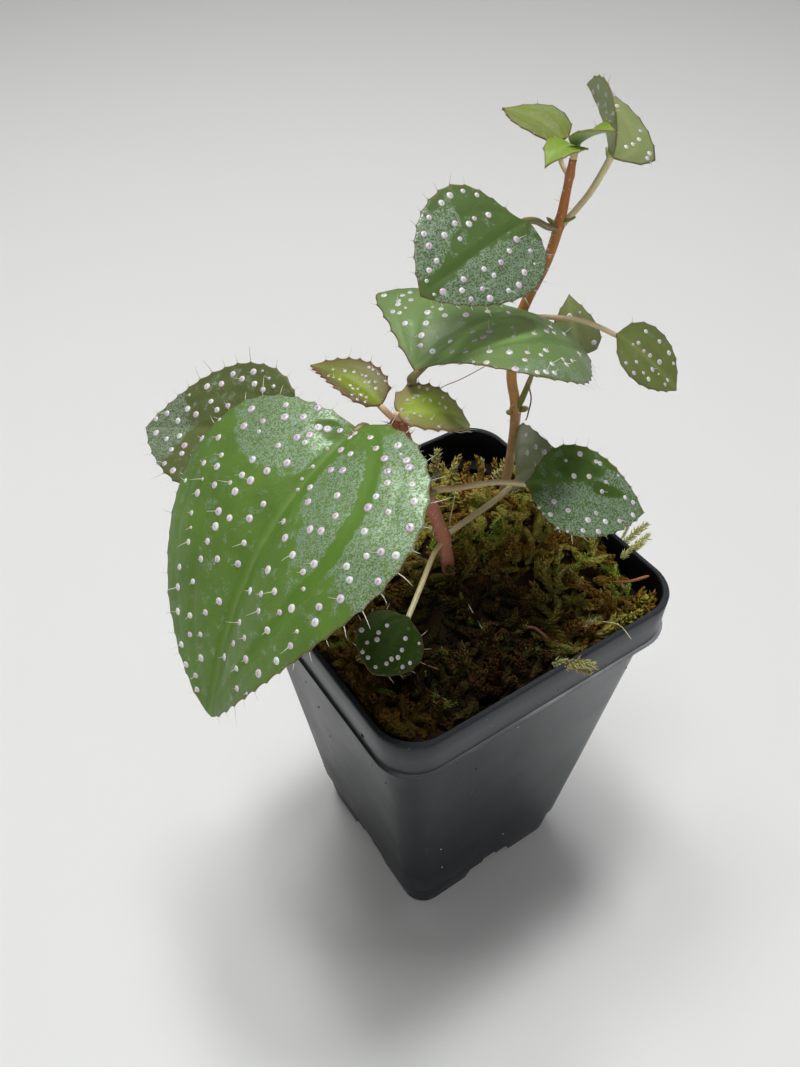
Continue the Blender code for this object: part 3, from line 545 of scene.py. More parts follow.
def moss_branch(draw, leaf, length, girth, scales, spread, curl):
    """A curled branchlet that starts at the origin along X, clothed in scale leaves."""
    bend = draw.uniform(*curl)
    sway = draw.uniform(-0.8, 0.8)
    steps = 9
    place = Vector()
    line = []
    for k in range(steps + 1):
        share = k / steps
        line.append((place.copy(), girth * math.sin(math.pi * (0.16 + 0.80 * share)) + 0.05))
        way = Vector((math.cos(bend * share), math.sin(sway * share), math.sin(bend * share)))
        place += way.normalized() * length / steps
    core = rod(line, 6)
    rise = core.verts.layers.float.new("rise")
    for v in core.verts:
        v[rise] = 0.5
    copies = [(make_mesh("core", core), Matrix.Identity(4), 0.0)]
    for k in range(scales):
        at = (k + 0.3) / scales * steps
        low = min(int(at), steps - 1)
        (a, here), (b, _) = line[low], line[low + 1]
        spot = a.lerp(b, at - low)
        turn = (b - a).to_track_quat("X", "Z").to_matrix().to_4x4()
        size = (1.0 + 0.9 * here) * draw.uniform(0.7, 1.25)
        copies.append((leaf, Matrix.Translation(spot * MM) @ turn @ Matrix.Rotation(k * 2.4, 4, "X")
                       @ Matrix.Translation((0, 0, here * 0.75 * MM))
                       @ Matrix.Rotation(-spread * draw.uniform(0.5, 1.5), 4, "Y")
                       @ Matrix.Scale(size, 4), 0.0))
    made = gather("branch", copies)
    mesh = made.data
    bpy.data.objects.remove(made, do_unlink=True)
    return mesh


def stays_in(mesh, place):
    """True where a placed branchlet keeps inside the rim all along."""
    probes = [place @ mesh.vertices[k].co / MM for k in range(0, len(mesh.vertices), 7)]
    return all(in_pot(p, BRANCH_GAP) for p in probes)


def strewn(draw, kinds, count, lift, steep, sizes, beyond=0.0):
    """Branchlets laid over the moss, clear of the pot's wall, each with its age as its tone."""
    copies = []
    while len(copies) < count:
        spot = Vector((draw.uniform(-MOSS_HALF, MOSS_HALF), draw.uniform(-MOSS_HALF, MOSS_HALF), 0))
        spot.z = moss_height(spot.x, spot.y) + draw.uniform(*lift)
        fits = in_pot(spot, MOSS_GAP) and max(abs(spot.x), abs(spot.y)) > beyond
        for trial in range(TRIALS if fits else 0):
            angle = draw.uniform(0, math.tau)
            way = Vector((math.cos(angle), math.sin(angle), draw.uniform(*steep)))
            end = spot + way.normalized() * BRANCH_LENGTH
            end.z = min(end.z, moss_height(end.x, end.y) + TIP_LIFT)
            shape = draw.choice(kinds)
            place = facing(spot, end - spot, draw.uniform(0, math.tau), draw.uniform(*sizes))
            if stays_in(shape, place):
                copies.append((shape, place, draw.uniform(0, 1)))
                break
    return copies


def moss_finish(name, dark, tan, green, least=0.08):
    """Soft moss whose branchlets differ in age, with painted shade that darkens it round the front of the
    pot and painted light that brightens it towards the back and darkens it again at the far back.
    """
    material, tree, moss = new_finish(name, Roughness=0.8, Specular_IOR_Level=0.12,
                                      Subsurface_Weight=0.35, Subsurface_Scale=0.0012)
    tone = read(tree, "tone")
    patch = span(tree, speckle(tree, 11.0, 2.0), 0.40, 0.60)
    rust = span(tree, speckle(tree, 6.0, 2.0), 0.60, 0.72, 0.0, 0.4)
    aged = colour_mix(tree, tone, tan, green)
    mixed = colour_mix(tree, product(tree, patch, 0.7), aged, green)
    mixed = colour_mix(tree, rust, mixed, (0.300, 0.110, 0.022))
    inner = colour_mix(tree, span(tree, read(tree, "rise"), 0.0, 0.9), dark, mixed)
    place = node(tree, "TexCoord").outputs["Object"]
    # Painted shade: the moss is darkened near the front middle of the pot, where the leaves shade it; this
    # measures the distance to that place.
    wet = tree.nodes.new("ShaderNodeVectorMath")
    wet.operation = "DISTANCE"
    tree.links.new(place, wet.inputs[0])
    wet.inputs[1].default_value = plant((*SHADE_MIDDLE, MOSS_LEVEL)) * MM
    painted_shade = span(tree, wet.outputs["Value"], SHADE_REACH[0] * MM, SHADE_REACH[1] * MM, least, 1.0)
    # Painted light and shade: brighter from the front towards the back, then darker again at the far back.
    turned = node(tree, "Mapping", Vector=place)
    turned.inputs["Rotation"].default_value = (0, 0, -PLANT_TURN)
    away = node(tree, "SeparateXYZ", Vector=turned.outputs["Vector"]).outputs["Y"]
    fleck = span(tree, speckle(tree, 0.7, 2.0), 0.3, 0.7, 0.7, 1.2)
    each = span(tree, tone, 0.0, 1.0, 0.65, 1.45)
    tone_and_painted_shade = product(tree, painted_shade, fleck, each, span(tree, away, -0.014, 0.0, 1.0, 1.3),
                    span(tree, away, 0.010, 0.026, 1.0, 0.65))
    wire(tree, moss, Base_Color=colour_mix(tree, 1.0, inner, grey(tree, tone_and_painted_shade), "MULTIPLY"),
         Normal=bumps(tree, speckle(tree, 0.35, 2.0), 0.08))
    return material


def moss_bed():
    """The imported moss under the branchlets, from the frame's own bed with a rougher top."""
    bm = bmesh.new()
    bm.from_mesh(frame["nodes"]["moss_bed"].data)
    bmesh.ops.remove_doubles(bm, verts=bm.verts, dist=0.01 * MM)
    top = [e for e in bm.edges if min(v.co.z for v in e.verts) > 70 * MM]
    bmesh.ops.subdivide_edges(bm, edges=top, cuts=1, use_grid_fill=True)
    for v in bm.verts:
        if v.co.z > 72 * MM and in_pot(v.co / MM, 0.6):
            spot = v.co / MM / 1.3
            v.co.z -= (0.5 + 0.9 * abs(noise.noise(spot))) * MM
    return make_mesh("moss_packed", bm, outward=True)


def paint_new(bm, old, slot):
    """Gives the faces that aren't among the old ones a material."""
    for f in bm.faces:
        if f not in old:
            f.material_index = slot


draw = random.Random(41)
scale, needle = scale_leaf(0.72), scale_leaf(0.40)
ropes = [moss_branch(draw, scale, BRANCH_LENGTH, draw.uniform(0.35, 0.75), BRANCH_SCALES,
                     draw.uniform(0.12, 0.50), (0.2, 2.4)) for k in range(BRANCH_KINDS)]
feathers, straight = [[moss_branch(draw, needle, BRANCH_LENGTH, SHOOT_GIRTH, SHOOT_SCALES,
                                   draw.uniform(0.5, 0.9), curl) for k in range(count)]
                      for count, curl in ((6, (0.2, 2.4)), (4, (0.1, 0.6)))]
# The dark inside, the old and the fresh colour, and what is left of them where shade is painted in the
# middle
moss_finishes = {name: moss_finish("moss_" + name, *colours) for name, colours in {
    "brown": ((0.060, 0.030, 0.006), (0.420, 0.230, 0.040), (0.290, 0.220, 0.032)),
    "green": ((0.220, 0.160, 0.026), (0.740, 0.560, 0.130), (0.480, 0.510, 0.082)),
    "bright": ((0.200, 0.240, 0.030), (0.600, 0.640, 0.140), (0.350, 0.620, 0.050), 0.45),
    "pale": ((0.600, 0.560, 0.200), (0.940, 0.900, 0.420), (0.820, 0.860, 0.280), 0.6)}.items()}
soil = new_finish("moss_soil", Roughness=0.9, Specular_IOR_Level=0.08,
                  Base_Color=(0.024, 0.014, 0.007, 1.0))[0]
bed = add_piece("moss_packed", moss_bed(), soil)
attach(bed, "root")
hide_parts("moss_bed")
lower = strewn(draw, ropes, BROWN_BRANCHES, (-1.4, 0.0), (-0.3, 0.3), (0.8, 1.3))
lower = gather("moss_lower", lower, moss_finishes["brown"])
edging = strewn(draw, ropes, EDGE_BRANCHES, (-1.2, 0.2), (-0.3, 0.4), (0.6, 1.0), EDGE_START)
edging = gather("moss_edging", edging, moss_finishes["brown"])
upper = strewn(draw, ropes, GREEN_BRANCHES, (-0.9, 0.4), (-0.1, 0.5), (0.6, 1.25))
upper = gather("moss_upper", upper, moss_finishes["green"])
standing = []
for group, tones in ((FRONDS, (0.3, 0.8)), (TUFTS, (0.6, 1.0))):
    standing.append([])
    for foot, end, girth in group:
        reach = plant(end) - plant(foot)
        lean = facing(plant(foot), reach, draw.uniform(0, math.tau), reach.length / BRANCH_LENGTH)
        lean = lean @ Matrix.Diagonal((1, girth, girth, 1))
        standing[-1].append((draw.choice(straight), lean, draw.uniform(*tones)))
sprigs = strewn(draw, feathers, SPRIGS, (-0.4, 0.8), (0.2, 1.3), (0.5, 0.9))
sprigs = gather("moss_sprigs", sprigs + standing[1], moss_finishes["bright"])
fronds = gather("moss_fronds", standing[0], moss_finishes["pale"])
for piece in (lower, edging, upper, sprigs, fronds):
    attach(piece, "root")
STRAWS = {"straw": (0.62, 0.56, 0.36), "silk": (0.66, 0.44, 0.34), "rust": (0.36, 0.14, 0.045),
          "wet": (0.13, 0.040, 0.018), "bark": (0.16, 0.08, 0.035)}
litter = bmesh.new()
for points, radius, kind in THREADS:
    first = set(litter.faces)
    curve = smooth_route([(tuple(plant(p)), radius) for p in points], 6)
    curve[0], curve[-1] = (curve[0][0], radius / 2), (curve[-1][0], radius / 2)
    rod(curve, 6, litter)
    paint_new(litter, first, list(STRAWS).index(kind))
strewn_bits = [new_finish("moss_" + kind, Roughness=0.6, Base_Color=(*colour, 1.0))[0]
               for kind, colour in STRAWS.items()]
litter = make_mesh("threads", litter, outward=True)
threads = add_piece("moss_threads", litter, *strewn_bits)
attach(threads, "root")


# Stems
# Two soft woody shoots that were rooted in the moss, swollen where the leaf pairs sit. The thick
# one is dusky rose, the thin one orange brown with a short side shoot; both are sparsely hairy.
STEM_ROUTES = {
    "stem_thick": [
        ((2.0, -2.2, 78.0), 1.25),
        ((0.9, -3.0, 86.0), 1.35),
        ((-0.9, -3.1, 98.5), 1.28),
        ((-4.2, -3.3, 110.1), 1.22),
        ((-6.6, -3.6, 118.3), 1.12),
        ((-8.1, -3.9, 123.9), 1.1),
        ((-9.0, -4.0, 126.2), 1.05),
    ],
    "stem_thin": [
        ((11.6, 19.0, 76.0), 0.95),
        ((12.6, 19.2, 88.5), 0.95),
        ((13.5, 19.2, 98.8), 0.95),
        ((13.6, 19.0, 110.4), 1.0),
        ((12.2, 19.0, 119.1), 0.95),
        ((13.0, 19.0, 131.0), 0.95),
        ((16.5, 19.0, 141.1), 0.85),
        ((17.9, 19.0, 147.8), 0.85),
        ((18.5, 19.0, 153.7), 0.7),
        ((18.9, 19.0, 158.4), 0.6),
    ],
}
STEM_NODES = {
    "stem_thick": (98.5, 110.1, 118.3, 125.0),
    "stem_thin": (110.4, 130.2, 147.8, 155.9),
}
NODE_SWELL = 1.22
SIDE_SHOOT = [((13.6, 19.0, 110.6), 0.6), ((14.4, 18.0, 113.5), 0.6), ((15.3, 17.2, 118.0), 0.5),
              ((15.8, 16.9, 120.5), 0.35)]
BUDS = [((17.2, 18.4, 147.8), (-1.7, -0.9, 1.9), 0.36), ((18.5, 18.5, 148.6), (1.7, -0.6, 0.9), 0.36),
        ((14.5, 18.5, 110.9), (1.2, -0.9, 0.9), 0.6), ((12.7, 18.3, 110.3), (-1.0, -0.8, 0.8), 0.5),
        ((-3.2, -4.4, 110.4), (0.8, -0.8, 1.4), 0.5)]
STEM_HAIRS = {"stem_thick": (70, 1.6), "stem_thin": (46, 0.9)}      # their number and length
HAIRS_FROM = 96.0             # the stems are bare below this height
TUFT_HAIRS = (60, 1.9, 121.0)


def stem_line(name, steps):
    """A stem's smooth centre line with the swellings at its nodes."""
    line = []
    for place, radius in smooth_route(STEM_ROUTES[name], steps):
        near = min(abs(place.z - z) for z in STEM_NODES[name])
        swell = 1 + (NODE_SWELL - 1) * math.exp(-(near / 0.9) ** 2)
        line.append((plant(place), radius * swell))
    return line


def stem_at(name, height):
    """Point, direction and radius of a stem at a height."""
    line = stem_line(name, 10)
    for (a, ra), (b, rb) in zip(line, line[1:]):
        if a.z <= height <= b.z:
            return a.lerp(b, (height - a.z) / (b.z - a.z)), (b - a).normalized(), max(ra, rb)
    end, radius = line[-1]
    return end, (end - line[-2][0]).normalized(), radius


def hair(draw):
    """A curved tapering hair, 1 long along X and under a tenth of a mm thick."""
    curve = draw.uniform(0.1, 0.7)
    line = [(Vector((t, 0, curve * t * t)), 0.07 * (1 - 0.75 * t)) for t in (0, 0.3, 0.6, 0.85, 1.0)]
    return make_mesh("hair", rod(line, 4))


def hair_on(draw, place, way, length):
    """A hair of so many mm that stands at a place."""
    size = Matrix.Diagonal((length, 0.7 + 0.15 * length, 0.7 + 0.15 * length, 1))
    return draw.choice(hairs), facing(place, way, draw.uniform(0, math.tau)) @ size, draw.random()


def hair_places(draw, line, count, length, low):
    """Hairs that stand off a rod's line above a height."""
    copies = []
    while len(copies) < count:
        k = draw.randrange(1, len(line) - 1)
        (place, radius), (after, _) = line[k], line[k + 1]
        if place.z < low:
            continue
        way = (after - place).normalized()
        out = way.orthogonal().normalized()
        out.rotate(Matrix.Rotation(draw.uniform(0, math.tau), 3, way))
        spot = place.lerp(after, draw.random()) + out * radius * 0.95
        lean = out + way * draw.uniform(0, 0.7)
        copies.append(hair_on(draw, spot, lean, length * draw.uniform(0.5, 1.2)))
    return copies


def stem_skin(name, tip_height, low, high, top):
    """Young bark: colour that turns towards the top, pale flecks and fine length lines."""
    material, tree, stem = new_finish(name, Specular_IOR_Level=0.3, Subsurface_Weight=0.08,
                                      Subsurface_Scale=0.001)
    rise = node(tree, "SeparateXYZ", Vector=node(tree, "TexCoord").outputs["Object"]).outputs["Z"]
    body = colour_mix(tree, span(tree, rise, 0.092, 0.118), low, high)
    upper = colour_mix(tree, span(tree, rise, 0.121, tip_height * MM), body, top)
    cloud = colour_mix(tree, span(tree, speckle(tree, 2.2, 3.0), 0.35, 0.7, 0.0, 0.45), upper,
                       tuple(c * 0.5 for c in low))
    flecks = span(tree, speckle(tree, 0.55, 1.0, (1.0, 1.0, 0.6)), 0.66, 0.72, 0.0, 0.6)
    lines = bumps(tree, speckle(tree, 0.35, 2.0, (1.0, 1.0, 0.06)), 0.10)
    wire(tree, stem, Base_Color=colour_mix(tree, flecks, cloud, (0.80, 0.58, 0.46)),
         Roughness=span(tree, speckle(tree, 0.8, 2.0), 0.3, 0.7, 0.34, 0.55),
         Normal=bumps(tree, speckle(tree, 0.18, 2.0), 0.02, lines))
    return material


def hair_finish(name, colour):
    """Glassy bristles."""
    material, tree, shaft = new_finish(name, Roughness=0.35)
    faded = tuple(c * 0.72 for c in colour)
    wire(tree, shaft, Base_Color=colour_mix(tree, read(tree, "tone"), colour, faded))
    return material


draw = random.Random(7)
hairs = [hair(draw) for k in range(6)]
pale_hair = hair_finish("bristle_pale", (0.90, 0.88, 0.78))
brown_hair = hair_finish("bristle_brown", (0.42, 0.16, 0.09))
# Slot, the height where the top colour is reached, and the low, high and top colours
BARKS = {
    "stem_thick": ("stem_rose", 127, (0.570, 0.240, 0.150), (0.550, 0.200, 0.130), (0.370, 0.095, 0.040)),
    "stem_thin": ("stem_brown", 158, (0.640, 0.430, 0.250), (0.640, 0.300, 0.080), (0.520, 0.165, 0.040)),
}
for name, (slot, *bark) in BARKS.items():
    bm = rod(stem_line(name, 8), 18)
    stem = add_piece(name + "_skin", make_mesh(name, bm, outward=True), stem_skin(slot, *bark))
    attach(stem, "root")
    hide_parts(name)
    count, length = STEM_HAIRS[name]
    fuzz = hair_places(draw, stem_line(name, 8), count, length, HAIRS_FROM)
    fuzz = gather(name + "_hairs", fuzz, pale_hair)
    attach(fuzz, "root")
shoots = rod([(plant(place), radius) for place, radius in smooth_route(SIDE_SHOOT, 5)], 12)
for place, way, radius in BUDS:
    foot, reach = plant(place), plant(way)
    rod([(foot + reach * t, radius * g) for t, g in ((0, 1), (0.4, 1.15), (0.8, 0.8), (1, 0.3))], 8, shoots)
bud_green = stem_skin("bud_green", 158, (0.300, 0.230, 0.090), (0.260, 0.270, 0.080), (0.230, 0.280, 0.090))
buds = add_piece("side_buds", make_mesh("side_buds", shoots, outward=True), bud_green)
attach(buds, "root")
tuft = hair_places(draw, stem_line("stem_thick", 8), *TUFT_HAIRS)
tuft = gather("stem_thick_tuft", tuft, brown_hair)
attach(tuft, "root")


# Leaves
# Soft heart shaped leaves with curved veins that all run from stalk to tip. The skin between the
# veins is pebbled and flecked with silver, with a pale sheen painted where the light is reflected;
# the veins lie in smooth green grooves, and the edge is finely toothed. Each blade's colour is also
# darkened or brightened as painted shade and light. Each has a grooved stalk that grows from a node
# of its stem.
GAP = 0.3                     # clearance between pieces that touch
STALK_TAPER = 0.7
TOOTH_STEPS = 6               # rows of the fine blade to each tooth
TOOTH_RISE, TOOTH_FALL = 0.667, 0.333
TOOTH_ZONE = 0.86             # the part of the blade that the teeth leave as it is
ROW_CROWDING = 1.15           # how much closer the rows stand at the stalk
LARGEST_BLADE = 53            # the grooves and bands are as wide as on this length
CELL = 0.42
LATERAL = 0.52                # place of the main side veins between midrib and edge
OUTER = 0.82
BANDS = (1.5, 0.9, -1.0)      # half widths of the smooth bands on the midrib and the two side veins
NO_BANDS = {"left": (-1, -1, -1), "right": (-1, -1, -1)}
GROOVE = {"mid": (0.22, 1.0), "lateral": (0.20, 0.8), "outer": (0.08, 0.6)}     # depth and width
# "rise" is the midrib's arch and "early" moves it to the stalk end; "fold" raises both halves like
# a V and "unfold" lets that go towards the tip; "droop" bends the margins; "twist" turns the tip.
# "left" and "right" are half width, depth of the base lobe, place of the widest point and the
# shoulder, and "point" shapes the tip. All of these are parts of the blade's length. "sheen" has the
# silvery patches, a sheen painted where the light is reflected, "bare" the plain ones, painted a
# little darker as shade, "lit" the ones brightened as painted light and "fresh" the green ones, each
# as its middle and its reach along and across; "dents" has a middle, a radius and a depth in mm.
# "dull" is the silver elsewhere, "bloom" a pale film painted on the blade as sheen, and "shade"
# darkens or brightens the blade, partly as its own tone and partly as painted shade and light.
# "hush" hides the pale midrib. "murk" makes the stalk dark olive and "flush" reddens it. "rows"
# counts the teeth along a side, and "node", "via" and "stalk" are where the stalk leaves its stem,
# its way and its radius.
# What a leaf doesn't name is as on a plain leaf.
PLAIN_LEAF = dict(early=0.0, unfold=0.0, sheen=(), bare=(), lit=(), fresh=(), dents=(), dull=0.12,
                  gloss=1.0, shade=1.0, bloom=0.0, hush=0.0, murk=0.0, flush=0.5, bristle=0.9, dot=1.0,
                  bands={}, laterals=(LATERAL, LATERAL))
LEAVES = {
    "leaf_front_large": dict(
        base=(-14.9, -12.0, 130.8), tip=(-40.3, -35.0, 90.0), roll=-3.5, rise=0.13, early=0.28,
        fold=0.34, droop=-0.74, twist=0.04, left=(0.44, 0.08, 0.24, 0.23),
        right=(0.44, 0.01, 0.29, 0.38), point=(-0.02, 0.05), rows=24,
        sheen=((0.10, -0.18, 0.12, 0.19), (0.15, 0.12, 0.11, 0.10), (0.28, 0.20, 0.09, 0.08),
               (0.12, 0.33, 0.22, 0.15), (0.25, 0.42, 0.11, 0.10), (0.0, 0.22, 0.08, 0.12)),
        bands={"left": (2.5, 1.15, -1), "right": (1.0, -1, -1)}, laterals=(0.61, 0.50),
        bare=((0.038, -0.055, 0.026, 0.055),), dents=((0.04, -0.05, 0.035, 0.7),), murk=1.0,
        stem="stem_thick", node=118.3, via=[(-8.6, -6.6, 121.4), (-12.2, -9.4, 126.2)],
        stalk=0.75, tooth=0.34, bristle=1.7, colour="leaf_green"),
    "leaf_left_back": dict(
        base=(-26.4, -2.7, 123.5), tip=(-53.4, 8.0, 116.0), roll=35.0, rise=0.03,
        fold=0.17, droop=-0.16, twist=0.09, left=(0.39, 0.08, 0.40, 0.34),
        right=(0.37, 0.04, 0.32, 0.26), point=(0.06, 0.08), rows=16,
        sheen=((0.86, 0.0, 0.19, 0.24),), bloom=0.12, shade=0.74, hush=1.0,
        bands=NO_BANDS,
        stem="stem_thick", node=110.1, via=[(-9.5, -0.6, 114.5), (-18.0, -0.6, 120.4)],
        stalk=0.6, tooth=0.31, dot=0.92, bristle=1.6, colour="leaf_olive"),
    "leaf_arched": dict(
        base=(-5.9, -1.5, 133.7), tip=(25.6, 15.0, 123.7), roll=3.9, rise=0.25, early=0.07,
        fold=0.57, unfold=2.0, droop=-0.61, twist=-0.06, left=(0.47, 0.01, 0.04, 0.21),
        right=(0.48, -0.04, 0.32, 0.38), point=(0.10, 0.02), rows=18,
        sheen=((0.55, -0.44, 0.45, 0.07),), gloss=0.6, dull=0.1, bloom=0.28, shade=1.05, murk=1.0,
        lit=((0.27, -0.12, 0.21, 0.11),),
        stem="stem_thick", node=125.0, via=[(-7.3, -0.4, 128.2), (-6.3, -0.6, 131.2)],
        stalk=0.66, tooth=0.28, dot=0.85, bristle=1.4, colour="leaf_green"),
    "leaf_upper_mid": dict(
        base=(11.2, 11.0, 152.5), tip=(-5.2, -5.0, 149.2), roll=40.8, rise=0.05,
        fold=0.04, droop=-0.21, twist=-0.02, left=(0.39, 0.03, 0.33, 0.30),
        right=(0.46, -0.10, 0.42, 0.38), point=(0.06, 0.11), rows=14,
        sheen=((0.52, 0.26, 0.54, 0.24), (0.86, -0.30, 0.28, 0.22), (0.60, -0.28, 0.14, 0.10)),
        shade=0.64, bloom=0.18, hush=1.0, murk=1.0, gloss=1.35,
        bands={"left": (-1, -1, -1), "right": (2.4, -1, -1)},
        stem="stem_thin", node=147.0, via=[(15.4, 15.8, 149.0), (13.2, 13.3, 151.2)],
        stalk=0.5, tooth=0.25, dot=0.82, bristle=1.3, colour="leaf_green"),
    "leaf_lower_right": dict(
        base=(12.3, -6.0, 114.1), tip=(34.1, -5.0, 105.7), roll=-25.0, rise=0.06,
        fold=0.20, droop=-0.16, twist=0.0, left=(0.35, -0.06, 0.38, 0.30),
        right=(0.36, -0.05, 0.38, 0.29), point=(0.08, 0.08), rows=14,
        sheen=((0.52, -0.16, 0.42, 0.24), (0.76, 0.10, 0.20, 0.15)), shade=0.68, murk=0.35,
        bands=NO_BANDS,
        bare=((0.38, 0.18, 0.18, 0.09), (0.62, 0.07, 0.16, 0.05)), dents=((0.38, 0.16, 0.10, 0.5),),
        stem="stem_thick", node=110.1, via=[(1.6, -4.2, 111.6), (7.4, -5.2, 113.6)],
        stalk=0.48, tooth=0.25, dot=0.8, bristle=1.0, flush=0.75, colour="leaf_green"),
    "leaf_back_low": dict(
        base=(14.1, 13.2, 98.1), tip=(22.0, 0.8, 112.6), roll=-58.5, rise=0.12,
        fold=0.16, droop=-0.14, twist=0.04, left=(0.45, 0.06, 0.24, 0.27),
        right=(0.15, 0.03, 0.30, 0.30), point=(0.12, 0.05), rows=10,
        dull=-0.5, bloom=0.75, murk=0.35,
        stem="stem_thick", node=98.5, via=[(3.4, 0.6, 99.0), (9.2, 7.2, 97.8)],
        stalk=0.55, tooth=0.25, shade=1.3, dot=0.8, bristle=1.0, colour="leaf_olive"),
    "leaf_top_right": dict(
        base=(24.3, 16.5, 159.7), tip=(22.1, 31.0, 165.4), roll=-49.5, rise=0.04, early=-0.15,
        fold=0.77, droop=-0.34, twist=-0.16, left=(0.42, 0.06, 0.30, 0.30),
        right=(0.43, 0.05, 0.12, 0.37), point=(0.05, 0.09), rows=9,
        dull=0.1, stem="stem_thin", node=146.6, via=[(21.5, 17.8, 152.8), (23.0, 17.1, 156.4)],
        stalk=0.5, tooth=0.22, shade=1.4, bloom=0.3, dot=0.66, bristle=0.9, flush=0.0,
        colour="leaf_olive"),
    "leaf_right_small": dict(
        base=(29.5, 16.5, 128.5), tip=(41.3, 13.5, 118.3), roll=-21.5, rise=0.06,
        fold=0.21, droop=-0.26, twist=0.07, left=(0.36, -0.03, 0.41, 0.35),
        right=(0.38, -0.04, 0.38, 0.30), point=(0.08, 0.07), rows=9,
        dull=0.05, stem="stem_thin", node=130.2, via=[(17.0, 18.4, 130.9), (23.6, 17.4, 130.6)],
        stalk=0.42, tooth=0.22, shade=1.08, bloom=0.12, dot=0.72, bristle=0.7, flush=0.6,
        colour="leaf_green", finish="leaf_olive"),
    "leaf_back_right": dict(
        base=(24.6, 22.4, 121.0), tip=(22.6, 27.2, 130.2), roll=29.0, rise=0.08,
        fold=0.24, droop=-0.19, twist=0.0, left=(0.40, 0.06, 0.30, 0.30),
        right=(0.42, 0.08, 0.25, 0.28), point=(0.11, 0.06), rows=7,
        stem="stem_thin", node=128.6, via=[(17.4, 20.8, 124.2), (21.6, 21.8, 119.0), (24.2, 22.3, 118.8)],
        stalk=0.4, tooth=0.19, shade=1.4, bloom=0.3, dot=0.8, bristle=0.8, colour="leaf_olive"),
    "leaf_lower_round": dict(
        base=(-7.4, -21.0, 97.5), tip=(-13.6, -31.0, 95.1), roll=31.3, rise=-0.02,
        fold=-0.10, droop=-0.30, twist=0.1, left=(0.50, -0.04, 0.38, 0.33),
        right=(0.50, -0.03, 0.42, 0.37), point=(0.02, 0.10), rows=8,
        stem="stem_thick", node=98.0, via=[(-2.8, -7.6, 98.6), (-4.8, -14.0, 98.9)],
        stalk=0.45, tooth=0.19, shade=0.30, dull=-0.3, dot=0.72, bristle=1.2, flush=0.2,
        colour="leaf_green"),
    "leaf_young_left": dict(
        base=(-11.3, -4.4, 129.6), tip=(-23.0, 5.0, 130.7), roll=-2.0, rise=0.10, early=0.08,
        fold=0.32, droop=-0.18, twist=0.0, left=(0.29, 0.0, 0.28, 0.30),
        right=(0.29, 0.0, 0.33, 0.29), point=(0.10, 0.06), rows=10,
        dull=-0.1, fresh=((0.32, 0.06, 0.30, 0.13),), start=(-9.75, -4.15, 126.95), via=[],
        stalk=0.5, tooth=0.5, shade=0.95, dot=0.8, bristle=1.1, flush=0.9, colour="leaf_young"),
    "leaf_young_right": dict(
        base=(-8.5, -6.0, 129.2), tip=(3.3, 1.5, 120.5), roll=-23.3, rise=0.11, early=0.03,
        fold=0.30, droop=-0.20, twist=0.01, left=(0.27, 0.05, 0.32, 0.30),
        right=(0.27, 0.05, 0.34, 0.32), point=(0.09, 0.07), rows=10,
        dull=-0.1, fresh=((0.30, 0.03, 0.24, 0.13), (0.80, -0.12, 0.20, 0.08)),
        start=(-8.45, -4.5, 126.9), via=[],
        stalk=0.5, tooth=0.5, shade=2.0, bloom=0.1, dot=0.8, bristle=1.1, flush=0.9, colour="leaf_young"),
    "leaf_top_left": dict(
        base=(17.4, 21.9, 160.2), tip=(8.5, 28.6, 162.6), roll=1.0, rise=0.06, early=0.11,
        fold=0.23, droop=-0.11, twist=-0.05, left=(0.40, 0.05, 0.40, 0.35),
        right=(0.40, 0.04, 0.36, 0.23), point=(0.11, 0.05), rows=7,
        dull=0.5, shade=0.8, bloom=0.2,
        stem="stem_thin", node=155.4, via=[(17.5, 21.4, 157.0), (17.4, 21.9, 158.5)],
        stalk=0.36, tooth=0.19, bristle=0.7, colour="leaf_young"),
}


def even_points(points, count):
    """The same line with equal steps."""
    lengths = [0.0]
    for a, b in zip(points, points[1:]):
        lengths.append(lengths[-1] + (b - a).length)
    out = []
    k = 0
    for i in range(count + 1):
        want = lengths[-1] * i / count
        while k < len(points) - 2 and lengths[k + 1] < want:
            k += 1
        step = max(lengths[k + 1] - lengths[k], 1e-9)
        out.append(points[k].lerp(points[k + 1], (want - lengths[k]) / step))
    return out


def margin(side, point, count):
    """One half of the blade's edge from the stalk round the base lobe to the tip."""
    half, lobe, widest, shoulder = side
    back, close = point
    first = interpolate_bezier(Vector((0, 0)), Vector((-1.33 * lobe, 0.12 * half)),
                               Vector((-1.33 * lobe, half)), Vector((widest, half)), 24)
    second = interpolate_bezier(Vector((widest, half)), Vector((widest + shoulder, half)),
                                Vector((1 - back, close)), Vector((1, 0)), 24)
    return even_points([p.to_2d() for p in first] + [p.to_2d() for p in second[1:]], count)


def blade_height(leaf, u, v):
    """Height of the blade over the flat between stalk and tip."""
    arch = leaf["rise"] * 4 * u * (1 - u) * (1 + leaf["early"] * (1 - 2 * u))
    fold = leaf["fold"] * abs(v) * (1 - leaf["unfold"] * u)
    return arch + fold + leaf["droop"] * v * v + leaf["twist"] * u * v


def blade_axes(leaf):
    """Stalk end, length, and the directions along, to the right and up from the blade."""
    base = Vector(leaf["base"])
    along = Vector(leaf["tip"]) - base
    length = along.length
    along.normalize()
    right = along.cross(Vector((0, 0, 1))).normalized()
    up = right.cross(along)
    roll = math.radians(leaf["roll"])
    right = right * math.cos(roll) + up * math.sin(roll)
    return base, length, along, right, right.cross(along)


def on_blade(leaf, u, v, lift):
    """The place of a point of the blade, lifted by so many mm."""
    base, length, along, right, up = blade_axes(leaf)
    flat = base + length * (u * along - v * right + blade_height(leaf, u, v) * up)
    return plant(flat + up * lift)


def smooth_step(value):
    """0 below 0, 1 above 1 and smooth between."""
    value = min(max(value, 0.0), 1.0)
    return value * value * (3 - 2 * value)


